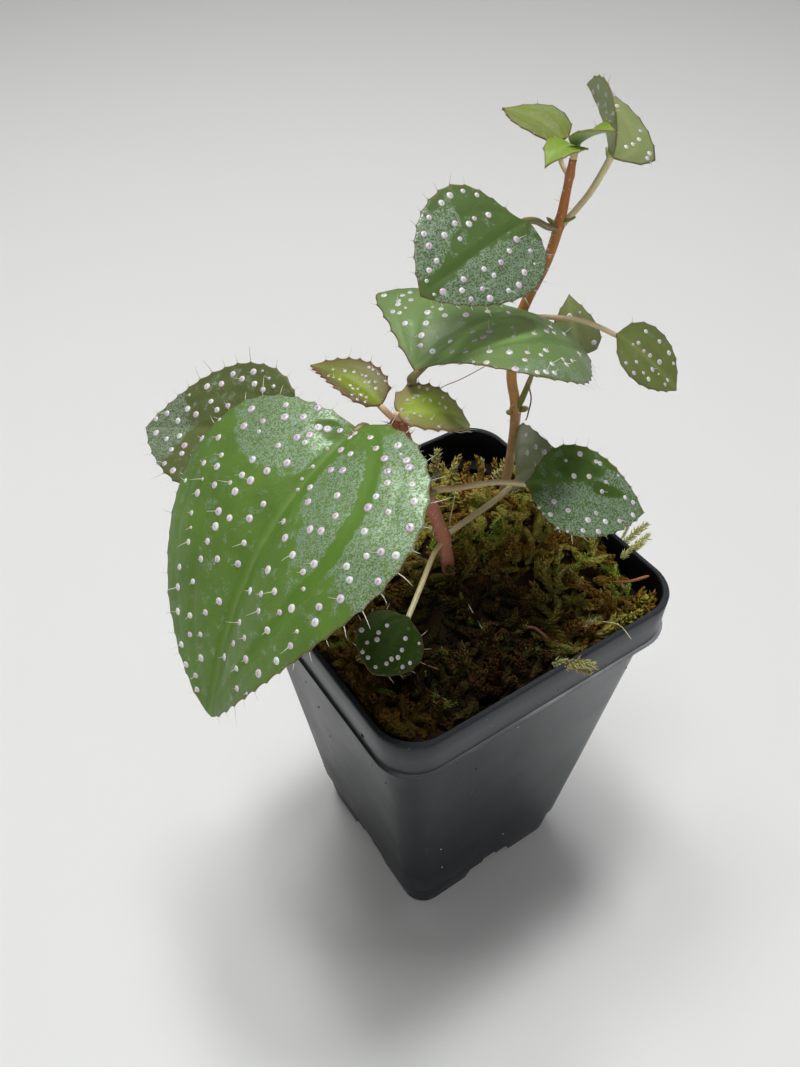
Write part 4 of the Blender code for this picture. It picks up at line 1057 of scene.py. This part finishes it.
def tooth_share(row):
    """How far the saw tooth stands out at a row of the fine blade."""
    phase = row % TOOTH_STEPS / TOOTH_STEPS
    rest = phase / TOOTH_RISE if phase < TOOTH_RISE else (1 - phase) / TOOTH_FALL
    return max(rest, 0.0) ** 2.2


def edge_points(leaf, side, count):
    """Half of the edge and the way out of the blade at each of its points."""
    rim = margin(leaf[side], leaf["point"], count)
    outs = []
    for k in range(count + 1):
        run = rim[min(k + 1, count)] - rim[max(k - 1, 0)]
        outs.append(Vector((-run.y, run.x)).normalized())
    return rim, outs


def vein_places(leaf, side, cols):
    """Where the veins lie between midrib and edge, on lines of the blade's grid."""
    lateral = leaf["laterals"][side == "right"]
    return {"mid": 0.0, "lateral": round(lateral * cols) / cols, "outer": round(OUTER * cols) / cols}


def in_patch(patches, u, v):
    """1 well inside one of the oval patches, 0 outside them all."""
    return max([smooth_step((1.25 - math.hypot((u - middle_u) / reach_u, (v - middle_v) / reach_v)) / 0.5)
                for middle_u, middle_v, reach_u, reach_v in patches], default=0.0)


def finish_values(leaf, u, v, share):
    """How dark or bright with painted shade and light, how filmed, how silvery with painted sheen, and how
    brown the blade is at a point.
    """
    bare = in_patch(leaf["bare"], u, v)
    sheen = max(leaf["dull"], in_patch(leaf["sheen"], u, v)) * (1 - bare) * leaf["gloss"]
    # The bare patches are painted a quarter darker as shade, the lit ones brighter as painted light.
    shade = leaf["shade"] * (1 - 0.25 * bare) * (1 + 1.6 * in_patch(leaf["lit"], u, v))
    blush = (0.45 + 0.55 * share * share) * (1 - in_patch(leaf["fresh"], u, v)) if leaf["fresh"] else 0.0
    return {"shade": shade, "bloom": leaf["bloom"], "sheen": sheen, "blush": blush}


def blade_point(leaf, rims, cols, row, across, top):
    """Place of a vertex of the blade in mm, and what its finish is told about it."""
    count = len(rims["left"][0]) - 1
    length = blade_axes(leaf)[1]
    size = (length / LARGEST_BLADE) ** 0.7
    share = abs(across)
    side, sign = ("left", 1) if across >= 0 else ("right", -1)
    rim, outs = rims[side]
    middle = Vector(((row / count) ** ROW_CROWDING, 0))
    ray = (rim[row] - middle).length * length
    spot = middle.lerp(rim[row], share)
    if TOOTH_STEPS < row < count - TOOTH_STEPS:
        zone = smooth_step((share - TOOTH_ZONE) / (1 - TOOTH_ZONE))
        spot += outs[row] * tooth_share(row) * leaf["tooth"] / length * zone
    u, v = spot.x, spot.y * sign
    lift = 0.0
    far = {}
    for vein, place in vein_places(leaf, side, cols).items():
        far[vein] = abs(share - place) * ray
        depth, width = GROOVE[vein]
        lift -= depth * size * math.exp(-(far[vein] / (width * size + 0.12)) ** 2) * smooth_step(ray / 4)
    where = Vector((u * length, v * length, leaf["rows"]))
    lift += 0.22 * size * noise.noise(where / 5.0) + 0.06 * noise.noise(where / 1.6)
    for dent_u, dent_v, radius, depth in leaf["dents"]:
        near = math.hypot(u - dent_u, v - dent_v) / radius
        lift -= depth * math.exp(-near * near)
    half = 0.12 + 0.12 * (1 - share ** 4)
    bands = leaf["bands"].get(side, BANDS)
    kept = {"clear": min(far[vein] - band * size for vein, band in zip(far, bands)),
            "mid": far["mid"] + leaf["hush"], "edge": (1 - share) * ray, "back": 0.0 if top else 1.0,
            **finish_values(leaf, u, v, share)}
    return on_blade(leaf, u, v, lift + (half if top else -half)), kept


KEPT = ("clear", "mid", "edge", "back", "shade", "bloom", "sheen", "blush")


def blade(bm, leaf):
    """Adds a leaf's blade, drawn out from a flat grid, with its distances kept on the vertices."""
    length = blade_axes(leaf)[1]
    count = leaf["rows"] * TOOTH_STEPS
    widest = max(leaf["left"][0], leaf["right"][0]) * length
    cols = max(round(widest / CELL), 9)
    layers = {name: bm.verts.layers.float.get(name) or bm.verts.layers.float.new(name)
              for name in KEPT + ("along", "across")}
    made = bmesh.ops.create_grid(bm, x_segments=count, y_segments=2 * cols, size=0.5)["verts"]
    faces = list({f for v in made for f in v.link_faces})
    for v in made:
        v[layers["along"]] = v.co.x + 0.5
        v[layers["across"]] = 2 * v.co.y
    old = set(bm.verts) - set(made)
    bmesh.ops.solidify(bm, geom=faces, thickness=0.1)
    rims = {side: edge_points(leaf, side, count) for side in ("left", "right")}
    fresh = [v for v in bm.verts if v not in old]
    for v in fresh:
        row = round(v[layers["along"]] * count)
        top = v.co.z > -0.05
        across = round(v[layers["across"]] * cols) / cols
        place, kept = blade_point(leaf, rims, cols, row, across, top)
        v.co = place * MM
        for name, value in kept.items():
            v[layers[name]] = value
    bmesh.ops.remove_doubles(bm, verts=fresh, dist=0.02 * MM)


def stalk_line(leaf, steps):
    """The leaf's stalk from just off its stem into its blade."""
    via = [plant(p) for p in leaf["via"]]
    if via:
        axis, rise, radius = stem_at(leaf["stem"], leaf["node"])
        way = (via[0] - axis).normalized()
        lean = abs(way.dot(rise))
        across = math.sqrt(max(1 - lean * lean, 0.05))
        start = axis + way * ((radius + GAP * 1.3) / across + leaf["stalk"] * lean / across)
        start = start.lerp(axis, 0.7)
    else:
        start = plant(leaf["start"])
    under = on_blade(leaf, -0.01, 0.0, -leaf["stalk"] * 0.95)
    seat = on_blade(leaf, 0.06, 0.0, -leaf["stalk"] * STALK_TAPER - 0.22)
    inner = on_blade(leaf, 0.14, 0.0, -0.62)
    places = [start] + via + [under, seat, inner]
    widths = [leaf["stalk"] * 1.08] * (len(via) + 2) + [leaf["stalk"] * STALK_TAPER, 0.18]
    return smooth_route([(tuple(p), r) for p, r in zip(places, widths)], steps)


def stalk(bm, leaf):
    """Adds the stalk as a second material that knows how far along it is."""
    line = stalk_line(leaf, 6)
    along = bm.verts.layers.float["along"]
    shade = bm.verts.layers.float["shade"]
    murk = bm.verts.layers.float["bloom"]
    old_faces, old_verts = set(bm.faces), set(bm.verts)
    rod(line, 12, bm)
    total = len(line) - 1
    for v in set(bm.verts) - old_verts:
        k = min(range(total + 1), key=lambda i: (line[i][0] * MM - v.co).length_squared)
        v[along] = k / total
        v[shade] = leaf["flush"]
        v[murk] = leaf["murk"]
    paint_new(bm, old_faces, 1)


def granules(tree, grain):
    """A different value on each of the tiny domed cells of the skin."""
    place = node(tree, "TexCoord").outputs["Object"]
    cells = node(tree, "TexVoronoi", Vector=place, Scale=1 / (grain * MM))
    return node(tree, "SeparateColor", Color=cells.outputs["Color"]).outputs["Red"]


def leaf_skin(name, lamina, band, back, flush, glitter=1.0):
    """Pebbled lamina with silver flecks and a painted sheen, smooth green vein bands, a flushed edge, a
    paler back, a pale painted film, and colour darkened or brightened as painted shade and light.
    """
    material, tree, skin = new_finish(name, Subsurface_Weight=0.12, Subsurface_Scale=0.0008)
    clear, under, shade = read(tree, "clear"), read(tree, "back"), read(tree, "shade")
    wander = span(tree, speckle(tree, 1.3, 2.0), 0.3, 0.7, -0.35, 0.35)
    brim = product(tree, clear, wander, operation="ADD")
    upper = span(tree, under, 0.5, 0.45)
    pebbled = product(tree, span(tree, brim, -0.05, 0.35), upper)
    patch = span(tree, speckle(tree, 7.0, 3.0), 0.35, 0.65)
    flat = colour_mix(tree, product(tree, patch, 0.55), lamina, tuple(c * 0.68 for c in lamina))
    plain = colour_mix(tree, pebbled, band, flat)
    rib = span(tree, read(tree, "mid"), 0.95, 0.1, 0.0, 0.16)
    plain = colour_mix(tree, product(tree, rib, upper), plain, (0.42, 0.52, 0.22))
    plain = colour_mix(tree, read(tree, "blush"), plain, (0.150, 0.120, 0.050))
    # Painted sheen: a pale grey green film mixed over the blade by its "bloom".
    painted_film = span(tree, read(tree, "bloom"), 0.0, 1.0, 0.0, 0.8)
    plain = colour_mix(tree, painted_film, plain, (0.27, 0.30, 0.21))
    plain = colour_mix(tree, span(tree, under, 0.45, 0.55), plain, back)
    # Painted shade and light: each leaf's colour is multiplied by its "shade", partly its own tone and
    # partly painted shade and painted light.
    toned = colour_mix(tree, 1.0, plain, grey(tree, shade), "MULTIPLY")
    rim = span(tree, read(tree, "edge"), 0.32, 0.08, 0.0, 0.55)
    toned = colour_mix(tree, rim, toned, flush)
    # Painted sheen: pale grey green grains mixed into the colour in the silver patches, which lie where the
    # light is reflected; the faint silver elsewhere is the skin's own.
    ragged = product(tree, read(tree, "sheen"), span(tree, speckle(tree, 2.0, 5.0), 0.3, 0.7, -0.45, 0.45),
                     operation="ADD")
    sheen_mask = span(tree, ragged, 0.25, 0.60, 0.05, 1.0)
    grains = granules(tree, 0.19)
    silver_and_painted_sheen = product(tree, span(tree, grains, 0.20, 0.80, 0.0, 0.78 * glitter), pebbled, sheen_mask)
    # The specular reflection is weakened on blades painted darker as shade.
    gloss = product(tree, span(tree, pebbled, 0.0, 1.0, 0.22, 0.34), span(tree, shade, 0.2, 1.0, 0.1, 1.0))
    soft = bumps(tree, speckle(tree, 1.1, 2.0), 0.04)
    grain = product(tree, grains, span(tree, pebbled, 0.0, 1.0, 0.08, 1.0))
    wire(tree, skin, Base_Color=colour_mix(tree, silver_and_painted_sheen, toned, (0.35, 0.45, 0.36)),
         Metallic=product(tree, silver_and_painted_sheen, 0.35), Roughness=span(tree, pebbled, 0.0, 1.0, 0.48, 0.40),
         Specular_IOR_Level=gloss, Normal=bumps(tree, grain, 0.022, soft))
    return material


def stalk_skin():
    """Juicy ribbed stalk, flushed red at its foot and pale olive below the blade."""
    material, tree, skin = new_finish("stalk_skin", Specular_IOR_Level=0.45, Subsurface_Weight=0.1,
                                      Subsurface_Scale=0.001)
    along, shade = read(tree, "along"), read(tree, "shade")
    foot = colour_mix(tree, shade, (0.740, 0.620, 0.340), (0.800, 0.470, 0.340))
    upper = colour_mix(tree, shade, (0.860, 0.840, 0.460), (0.800, 0.680, 0.400))
    body = colour_mix(tree, span(tree, along, 0.0, 0.8), foot, upper)
    cloud = span(tree, speckle(tree, 1.2, 2.0), 0.35, 0.7, 0.0, 0.35)
    body = colour_mix(tree, cloud, body, (0.52, 0.44, 0.26))
    wire(tree, skin, Base_Color=colour_mix(tree, read(tree, "bloom"), body, (0.210, 0.170, 0.062)),
         Roughness=span(tree, speckle(tree, 0.9, 2.0), 0.3, 0.7, 0.28, 0.45),
         Normal=bumps(tree, speckle(tree, 0.3, 2.0), 0.05))
    return material


def edge_bristles(draw, leaf, length):
    """A bristle on each tooth of the edge."""
    copies = []
    count = leaf["rows"] * TOOTH_STEPS
    size = leaf["tooth"] / blade_axes(leaf)[1]
    for side, sign in (("left", 1), ("right", -1)):
        rim, outs = edge_points(leaf, side, count)
        for row in range(TOOTH_STEPS + 4, count - TOOTH_STEPS, TOOTH_STEPS):
            foot = rim[row] + outs[row] * size
            end = foot + outs[row] * 0.05
            root = on_blade(leaf, rim[row].x, rim[row].y * sign, 0.0).lerp(
                on_blade(leaf, foot.x, foot.y * sign, 0.0), 0.9)
            way = on_blade(leaf, end.x, end.y * sign, draw.uniform(0.2, 1.6)) - root
            far = 1.7 if draw.random() < 0.3 else 1.0
            copies.append(hair_on(draw, root, way, length * far * draw.uniform(0.6, 1.2)))
    return copies


finishes = {
    "leaf_green": leaf_skin("leaf_green", (0.125, 0.235, 0.032), (0.108, 0.212, 0.030),
                            (0.240, 0.310, 0.120), (0.180, 0.090, 0.030)),
    "leaf_olive": leaf_skin("leaf_olive", (0.140, 0.180, 0.034), (0.145, 0.180, 0.030),
                            (0.240, 0.290, 0.120), (0.160, 0.090, 0.030)),
    "leaf_young": leaf_skin("leaf_young", (0.240, 0.310, 0.030), (0.230, 0.290, 0.026),
                            (0.300, 0.360, 0.100), (0.200, 0.060, 0.022), 0.35),
}
stalk_finish = stalk_skin()
draw = random.Random(23)
surfaces = {}
LEAVES = {name: {**PLAIN_LEAF, **leaf} for name, leaf in LEAVES.items()}
for name, leaf in LEAVES.items():
    bm = bmesh.new()
    blade(bm, leaf)
    surfaces[name] = BVHTree.FromBMesh(bm)
    stalk(bm, leaf)
    finish = finishes[leaf.get("finish", leaf["colour"])]
    piece = add_piece(name + "_blade", make_mesh(name, bm, outward=True), finish, stalk_finish)
    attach(piece, "root")
    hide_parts(name)
    fringe = gather(name + "_fringe", edge_bristles(draw, leaf, leaf["bristle"]), pale_hair)
    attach(fringe, "root")


# Leaf dots
# White lilac blisters that stand in loose rows between the veins, each with a darker middle and a
# glassy bristle. They sit on the blade where the photograph shows them; the places are its pixels.
DOT_RADIUS = 0.66
SMALL_DOT_RADIUS = 0.38
DOT_RISE = 0.20
BRISTLE_LENGTHS = (0.25, 0.3, 0.4, 0.5, 0.6, 1.2)      # parts of the leaf's own
FOCAL = LENS / SENSOR * PHOTO_SIZE[1]
# Each leaf's full blisters and then its slight ones
DOTS = {
    "leaf_front_large": (
        [(251.5, 409), (286, 405), (244, 426), (263, 421), (285, 417), (303.5, 417), (318, 408),
        (202, 438.5), (218.5, 437.5), (297, 437.5), (310, 435), (305, 442.5), (278.5, 445.5),
        (221.5, 455), (204, 463), (217, 466.5), (252.5, 459.5), (267, 471), (287, 463), (242, 475),
        (250.5, 480.5), (235, 491.5), (214.5, 485), (197.5, 493), (263.5, 504), (218.5, 511.5),
        (229.5, 518), (249.5, 518.5), (215.5, 526.5), (191.5, 513), (188.5, 542), (207.5, 541.5),
        (244, 543), (283.5, 521.5), (285, 538), (292.5, 555), (217.5, 559), (238, 564), (201, 559),
        (179.5, 567), (268, 570), (303, 572), (314, 564), (310, 529.5), (321, 531), (335.5, 516),
        (337, 495.5), (308, 502), (310, 487.5), (331, 470), (342.5, 470.5), (341, 450), (350.5, 454),
        (350, 437.5), (355, 433.5), (370.5, 437.5), (376, 448.5), (384.5, 458.5), (398, 445.5),
        (406.5, 460.5), (409, 467.5), (387.5, 471.5), (387.5, 483), (412.5, 484.5), (376, 496.5),
        (368, 507.5), (388.5, 512), (414.5, 501.5), (364.5, 531.5), (366.5, 556), (410, 527.5),
        (381, 552), (396, 555.5), (346.5, 566.5), (349.5, 580), (378, 581.5), (340.5, 599), (319, 607),
        (315, 622.5), (274.5, 591.5), (261, 594), (250, 591), (193, 581.5), (178, 587), (219, 601.5),
        (205.5, 612.5), (258.5, 611), (279.5, 612.5), (291.5, 608.5), (239.5, 622.5), (190, 615.5),
        (178, 611.5), (267.5, 630.5), (244.5, 638), (233.5, 643.5), (200.5, 634.5), (190, 634.5),
        (290.5, 646), (246, 659.5), (224.5, 657), (201, 658), (181.5, 644.5), (276.5, 661),
        (258.5, 673.5), (236.5, 668.5), (237, 688.5), (186, 664.5), (195.5, 675.5), (197, 689.5),
        (318.5, 427.5), (327.5, 429), (340, 430.5)],
        [(219.5, 419.5), (259, 431.5), (202.5, 479), (189.5, 459.5), (185.5, 480.5), (191, 527.5),
        (298, 490), (302, 479), (313, 466.5), (327.5, 449), (400.5, 454), (303.5, 589), (297, 631.5),
        (202.5, 706.5)]),
    "leaf_left_back": (
        [(253.5, 372), (233, 374), (242, 379), (221.5, 384), (207, 386.5), (254.5, 384), (263, 390),
        (211, 401.5), (228, 406), (217, 410), (187.5, 409), (196, 414.5), (167, 413.5), (156, 419),
        (178, 421), (156, 433), (166.5, 439), (179.5, 436), (171.5, 449.5), (184.5, 445.5), (182, 453.5),
        (164.5, 463.5), (173, 470.5)],
        [(262.5, 371), (269, 378.5), (273.5, 386.5), (189.5, 395)]),
    "leaf_upper_mid": (
        [(463, 191), (450, 195.5), (477, 195), (441.5, 203), (429, 217.5), (488.5, 215), (474.5, 218.5),
        (455, 223.5), (469, 224), (444.5, 235.5), (460, 239), (424, 234), (429, 246), (436.5, 261),
        (429, 270.5), (443, 292), (462, 290.5), (463.5, 279.5), (484, 269), (501, 262.5), (494, 275.5),
        (482.5, 289), (509.5, 251), (516.5, 239.5), (530.5, 251), (524.5, 272.5), (519, 285),
        (508.5, 290.5), (490, 298.5), (471, 299)],
        [(426.5, 281), (434, 294.5), (534.5, 264)]),
    "leaf_arched": (
        [(427.5, 312.5), (441, 309), (445, 315.5), (466, 315), (487.5, 311.5), (508.5, 312.5),
        (426.5, 323.5), (432.5, 351.5), (450.5, 342), (452, 352), (472.5, 332), (489.5, 331), (483, 337),
        (474.5, 340.5), (513.5, 336.5), (465.5, 351.5), (489.5, 351.5), (509.5, 352.5), (527.5, 352.5),
        (546, 350.5), (541, 355), (525, 360), (552, 364), (563, 359.5), (572, 361), (566.5, 364.5),
        (486.5, 362.5), (515.5, 369), (537.5, 372.5), (546, 372), (554.5, 373), (534, 333.5),
        (546.5, 331.5), (554, 333), (564, 334), (579, 354), (550.5, 327), (387, 290.5), (384, 295.5),
        (402.5, 295.5), (410, 292.5), (398.5, 301), (398, 304.5), (411, 300), (399.5, 313), (405, 323.5),
        (426, 323.5), (421.5, 335.5), (420.5, 345.5), (432.5, 351.5)],
        [(493.5, 324.5), (512, 327.5), (473.5, 362), (526.5, 369.5), (405.5, 308), (432.5, 307)]),
    "leaf_right_small": (
        [(646, 331.5), (659.5, 341.5), (669, 353), (673.5, 363.5), (667.5, 380), (665, 384.5),
        (648.5, 379), (652.5, 369.5), (659.5, 362), (650, 355.5), (644, 351), (638.5, 343), (636.5, 362),
        (626, 363), (634, 373), (643.5, 373)],
        [(633, 344.5), (658.5, 374)]),
    "leaf_back_right": (
        [(569.5, 316), (594, 342.5)],
        [(580, 312.5)]),
    "leaf_young_left": (
        [],
        [(333, 369.5), (328.5, 376), (345, 371), (354, 372), (333.5, 377.5), (340, 379.5), (362, 375),
        (366, 376), (369, 367.5), (373, 369.5), (378.5, 374), (385.5, 381), (365, 382), (369, 382.5),
        (375, 382), (376, 388.5), (350.5, 385.5), (353, 388.5), (358, 389), (352, 395), (361, 395),
        (366.5, 397.5), (357.5, 399.5), (365, 402), (382.5, 406)]),
    "leaf_young_right": (
        [],
        [(419, 387), (427, 389), (415, 395.5), (413.5, 398), (418, 396), (407.5, 400), (423, 400),
        (430.5, 400), (442.5, 397), (439.5, 403.5), (445.5, 407.5), (402, 410), (397.5, 413.5),
        (388.5, 411), (393, 413.5), (415, 413.5), (420.5, 416), (407.5, 418.5), (431.5, 419),
        (439, 426.5)]),
    "leaf_lower_right": (
        [(580, 454), (600, 463.5), (596, 461.5), (574, 476), (589, 476.5), (606, 482), (602, 491.5),
        (625, 497.5), (633, 502.5), (554, 501.5), (568, 510.5), (596, 513), (588, 520), (605.5, 521.5),
        (619.5, 521), (633, 515), (550.5, 514.5), (583, 530.5), (598.5, 531.5)],
        [(566, 460.5), (543.5, 513.5), (539, 507.5), (567.5, 531.5), (557.5, 528), (618, 475.5),
        (585.5, 538.5)]),
    "leaf_back_low": (
        [(526, 435.5), (536, 447), (527.5, 453), (545, 452)],
        []),
    "leaf_lower_round": (
        [(387, 625.5), (361.5, 630), (378.5, 632.5), (377, 639.5), (367, 642.5), (405.5, 638.5),
        (362.5, 652), (402, 650), (398, 657.5), (391.5, 659), (368, 657.5), (386.5, 663.5), (375.5, 667),
        (402.5, 667), (410, 663)],
        [(419, 643.5)]),
    "leaf_top_right": (
        [(598.5, 87), (593.5, 92), (606.5, 95), (613.5, 95), (598.5, 104.5), (606, 104.5), (617, 106),
        (607, 112.5), (613.5, 113.5), (640.5, 131), (639, 139.5), (633, 144.5), (626.5, 147),
        (649.5, 153.5), (647.5, 158.5)],
        [(610, 121.5), (622.5, 100), (651, 163.5)]),
}


def sight(pixel):
    """The ray of the photograph's camera through a pixel."""
    x, y = pixel
    way = Vector(((x - PHOTO_SIZE[0] / 2) / FOCAL, (PHOTO_SIZE[1] / 2 - y) / FOCAL, -1.0))
    return Vector(CAMERA_PLACE) * MM, (look.to_3x3() @ way).normalized()


def place_on(surface, pixel, middle):
    """Place and normal on a leaf where a pixel's ray meets it, or nearest to that."""
    eye, way = sight(pixel)
    spot, normal, _, _ = surface.ray_cast(eye, way)
    if spot is None:
        spot, normal, _, _ = surface.find_nearest(eye + way * (middle - eye).dot(way))
    if normal.dot(way) > 0:
        normal = -normal
    return spot, normal


def blister(radius, rise):
    """A flattened round blister with its distance from the middle kept on the vertices."""
    bm = bmesh.new()
    bmesh.ops.create_uvsphere(bm, u_segments=10, v_segments=6, radius=1.0)
    heart = bm.verts.layers.float.new("heart")
    for v in bm.verts:
        v[heart] = math.hypot(v.co.x, v.co.y)
    size = Matrix.Diagonal((radius * MM, radius * MM, rise * MM, 1))
    bmesh.ops.transform(bm, matrix=size, verts=bm.verts)
    bmesh.ops.rotate(bm, cent=(0, 0, 0), matrix=Matrix.Rotation(math.pi / 2, 3, "Y"), verts=bm.verts)
    return make_mesh("blister", bm)


def blister_skin():
    """Translucent white lilac with a dull purple green middle."""
    material, tree, skin = new_finish("blister_skin", Roughness=0.28, Specular_IOR_Level=0.6,
                                      Subsurface_Weight=0.15, Subsurface_Scale=0.0006)
    heart, tone = read(tree, "heart"), read(tree, "tone")
    wall = colour_mix(tree, tone, (0.700, 0.560, 0.690), (0.840, 0.840, 0.820))
    core = colour_mix(tree, tone, (0.420, 0.260, 0.390), (0.560, 0.450, 0.530))
    wire(tree, skin, Base_Color=colour_mix(tree, span(tree, heart, 0.1, 0.45), core, wall))
    return material


blister_finish = blister_skin()
big, small = blister(DOT_RADIUS, DOT_RISE), blister(SMALL_DOT_RADIUS, DOT_RISE * 0.75)
for name, (full, slight) in DOTS.items():
    leaf = LEAVES[name]
    middle = on_blade(leaf, 0.4, 0.0, 0.0) * MM
    knobs, bristles = [], []
    for shape, pixels in ((big, full), (small, slight)):
        for pixel in pixels:
            spot, normal = place_on(surfaces[name], pixel, middle)
            size = leaf["dot"] * draw.uniform(0.72, 1.1)
            tone = draw.random()
            knobs.append((shape, facing(spot / MM, normal, draw.uniform(0, math.tau), size), tone))
            lean = Vector([draw.uniform(-0.3, 0.3) for k in range(3)]) - Vector((0, 0, 0.35))
            length = leaf["bristle"] * draw.choice(BRISTLE_LENGTHS)
            bristles.append(hair_on(draw, spot / MM + normal * DOT_RISE * 0.8, normal + lean, length))
    for piece in (gather(name + "_dots", knobs, blister_finish),
                  gather(name + "_bristles", bristles, pale_hair)):
        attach(piece, "root")


# Dirt on the pot
# A few crumbs of peat and flecks of lime have dried on the outer walls, most of them high up.
PEAT = [((362.4, 735.6), 0.50), ((319.0, 707.0), 0.34), ((330.0, 736.0), 0.28), ((372.0, 765.0), 0.26),
        ((386.0, 783.0), 0.26), ((476.0, 769.0), 0.34), ((306.0, 682.0), 0.32), ((327.0, 695.0), 0.36),
        ((324.5, 766.0), 0.30), ((626.0, 668.0), 0.34), ((398.0, 748.0), 0.20), ((558.0, 690.0), 0.20)]
LIME = [((518.0, 727.0), 0.30), ((441.0, 849.0), 0.22), ((442.0, 867.0), 0.26), ((503.0, 834.0), 0.24),
        ((472.0, 792.0), 0.18)]
wall = bmesh.new()
wall.from_mesh(pot.data)
outer_wall = BVHTree.FromBMesh(wall)
wall.free()
bm = bmesh.new()
bmesh.ops.create_icosphere(bm, subdivisions=1, radius=MM)
bmesh.ops.scale(bm, vec=(0.5, 1.0, 0.8), verts=bm.verts)
grain = make_mesh("crumb", bm)
for name, places, colour in (("peat", PEAT, (0.030, 0.017, 0.009, 1.0)),
                             ("lime", LIME, (0.50, 0.50, 0.48, 1.0))):
    crumbs = []
    for pixel, radius in places:
        spot, normal = place_on(outer_wall, pixel, Vector())
        crumbs.append((grain, facing(spot / MM, normal, draw.uniform(0, math.tau), radius), draw.random()))
    crumbs = gather("pot_" + name, crumbs, new_finish("dirt_" + name, Roughness=0.85, Base_Color=colour)[0])
    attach(crumbs, "root")


# Growing tip
# A short shoot with two leaves that have only just opened, bright yellow green and glossy.
TIP_SHOOT = [((18.95, 19.0, 158.6), 0.6), ((19.0, 18.7, 160.3), 0.65), ((19.3, 18.4, 161.5), 0.5)]
TIP_LEAVES = [
    dict(base=(19.0, 18.5, 160.4), tip=(13.7, 13.2, 159.7), roll=0.0, rise=0.15,
         fold=0.25, droop=-0.18, twist=-0.04, left=(0.39, 0.07, 0.30, 0.30),
         right=(0.39, 0.10, 0.32, 0.31), point=(0.10, 0.06), rows=5, tooth=0.3),
    dict(base=(19.4, 18.3, 161.1), tip=(23.5, 13.5, 164.8), roll=1.0, rise=0.09, early=0.1,
         fold=0.38, droop=-0.09, twist=-0.02, left=(0.41, 0.04, 0.33, 0.27),
         right=(0.40, 0.05, 0.31, 0.30), point=(0.11, 0.05), rows=5, tooth=0.3),
]
bm = bmesh.new()
fringe = []
for leaf in TIP_LEAVES:
    leaf = {**PLAIN_LEAF, **leaf}
    blade(bm, leaf)
    fringe += edge_bristles(draw, leaf, 0.6)
before = set(bm.faces)
rod([(plant(place), radius) for place, radius in smooth_route(TIP_SHOOT, 5)], 12, bm)
paint_new(bm, before, 1)
tip_finish = leaf_skin("leaf_bud", (0.220, 0.340, 0.030), (0.205, 0.320, 0.036),
                       (0.300, 0.420, 0.150), (0.300, 0.250, 0.060), 0.15)
tip = make_mesh("growing_tip", bm, outward=True)
tip = add_piece("growing_tip_leaves", tip, tip_finish, stalk_finish)
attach(tip, "root")
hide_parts("growing_tip")
fringe = gather("growing_tip_fringe", fringe, pale_hair)
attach(fringe, "root")


# Floor and light
# A plain pale table top in a room. A wide white ceiling gives the soft sheen and three small lamps
# over the plant its shadows; a broad light in front and pale walls give the rest.
def lamp(name, place, size, power):
    """A square panel that faces the plant, with its place in metres."""
    data = bpy.data.lights.new(name, "AREA")
    data.shape = "SQUARE"
    data.size = size
    data.energy = power
    panel = bpy.data.objects.new(name, data)
    bpy.context.scene.collection.objects.link(panel)
    target = Vector((0, 0, 0.09))
    panel.matrix_world = (Matrix.Translation(place)
                          @ (Vector(place) - target).to_track_quat("Z", "Y").to_matrix().to_4x4())


bm = bmesh.new()
bmesh.ops.create_circle(bm, cap_ends=True, segments=64, radius=3.0)
floor = add_piece("floor", make_mesh("floor", bm))
material, tree, ground = new_finish("floor_paint", Roughness=0.55, Specular_IOR_Level=0.3)
tone = colour_mix(tree, speckle(tree, 300.0, 3.0), (0.80, 0.80, 0.79), (0.84, 0.84, 0.83))
wire(tree, ground, Base_Color=tone)
floor.data.materials.append(material)

lamp("ceiling", (0.0, 0.0, 1.05), 3.6, 5.0)
for name, place, size, power in (("front_fill", (0.1, -1.0, 0.42), 0.9, 3.2),
                                 ("lamp_top", (0.06, 0.18, 1.03), 0.18, 3.4),
                                 ("lamp_side", (-0.12, 0.0, 1.03), 0.18, 2.3),
                                 ("lamp_behind", (-0.24, 0.24, 1.03), 0.18, 2.5)):
    lamp(name, plant(place), size, power)
for name, turn, power in (("wall_back", 0, 1.1), ("wall_left", 78, 0.6), ("wall_right", -78, 0.6)):
    place = Matrix.Rotation(math.radians(turn), 3, "Z") @ Vector((0, 1.05, 0.98))
    lamp(name, plant(place), 1.25, power)
world = bpy.data.worlds.new("room")
world.use_nodes = True
world.node_tree.nodes["Background"].inputs["Color"].default_value = (0.012, 0.012, 0.013, 1.0)
bpy.context.scene.world = world
bpy.context.scene.view_settings.view_transform = "Standard"
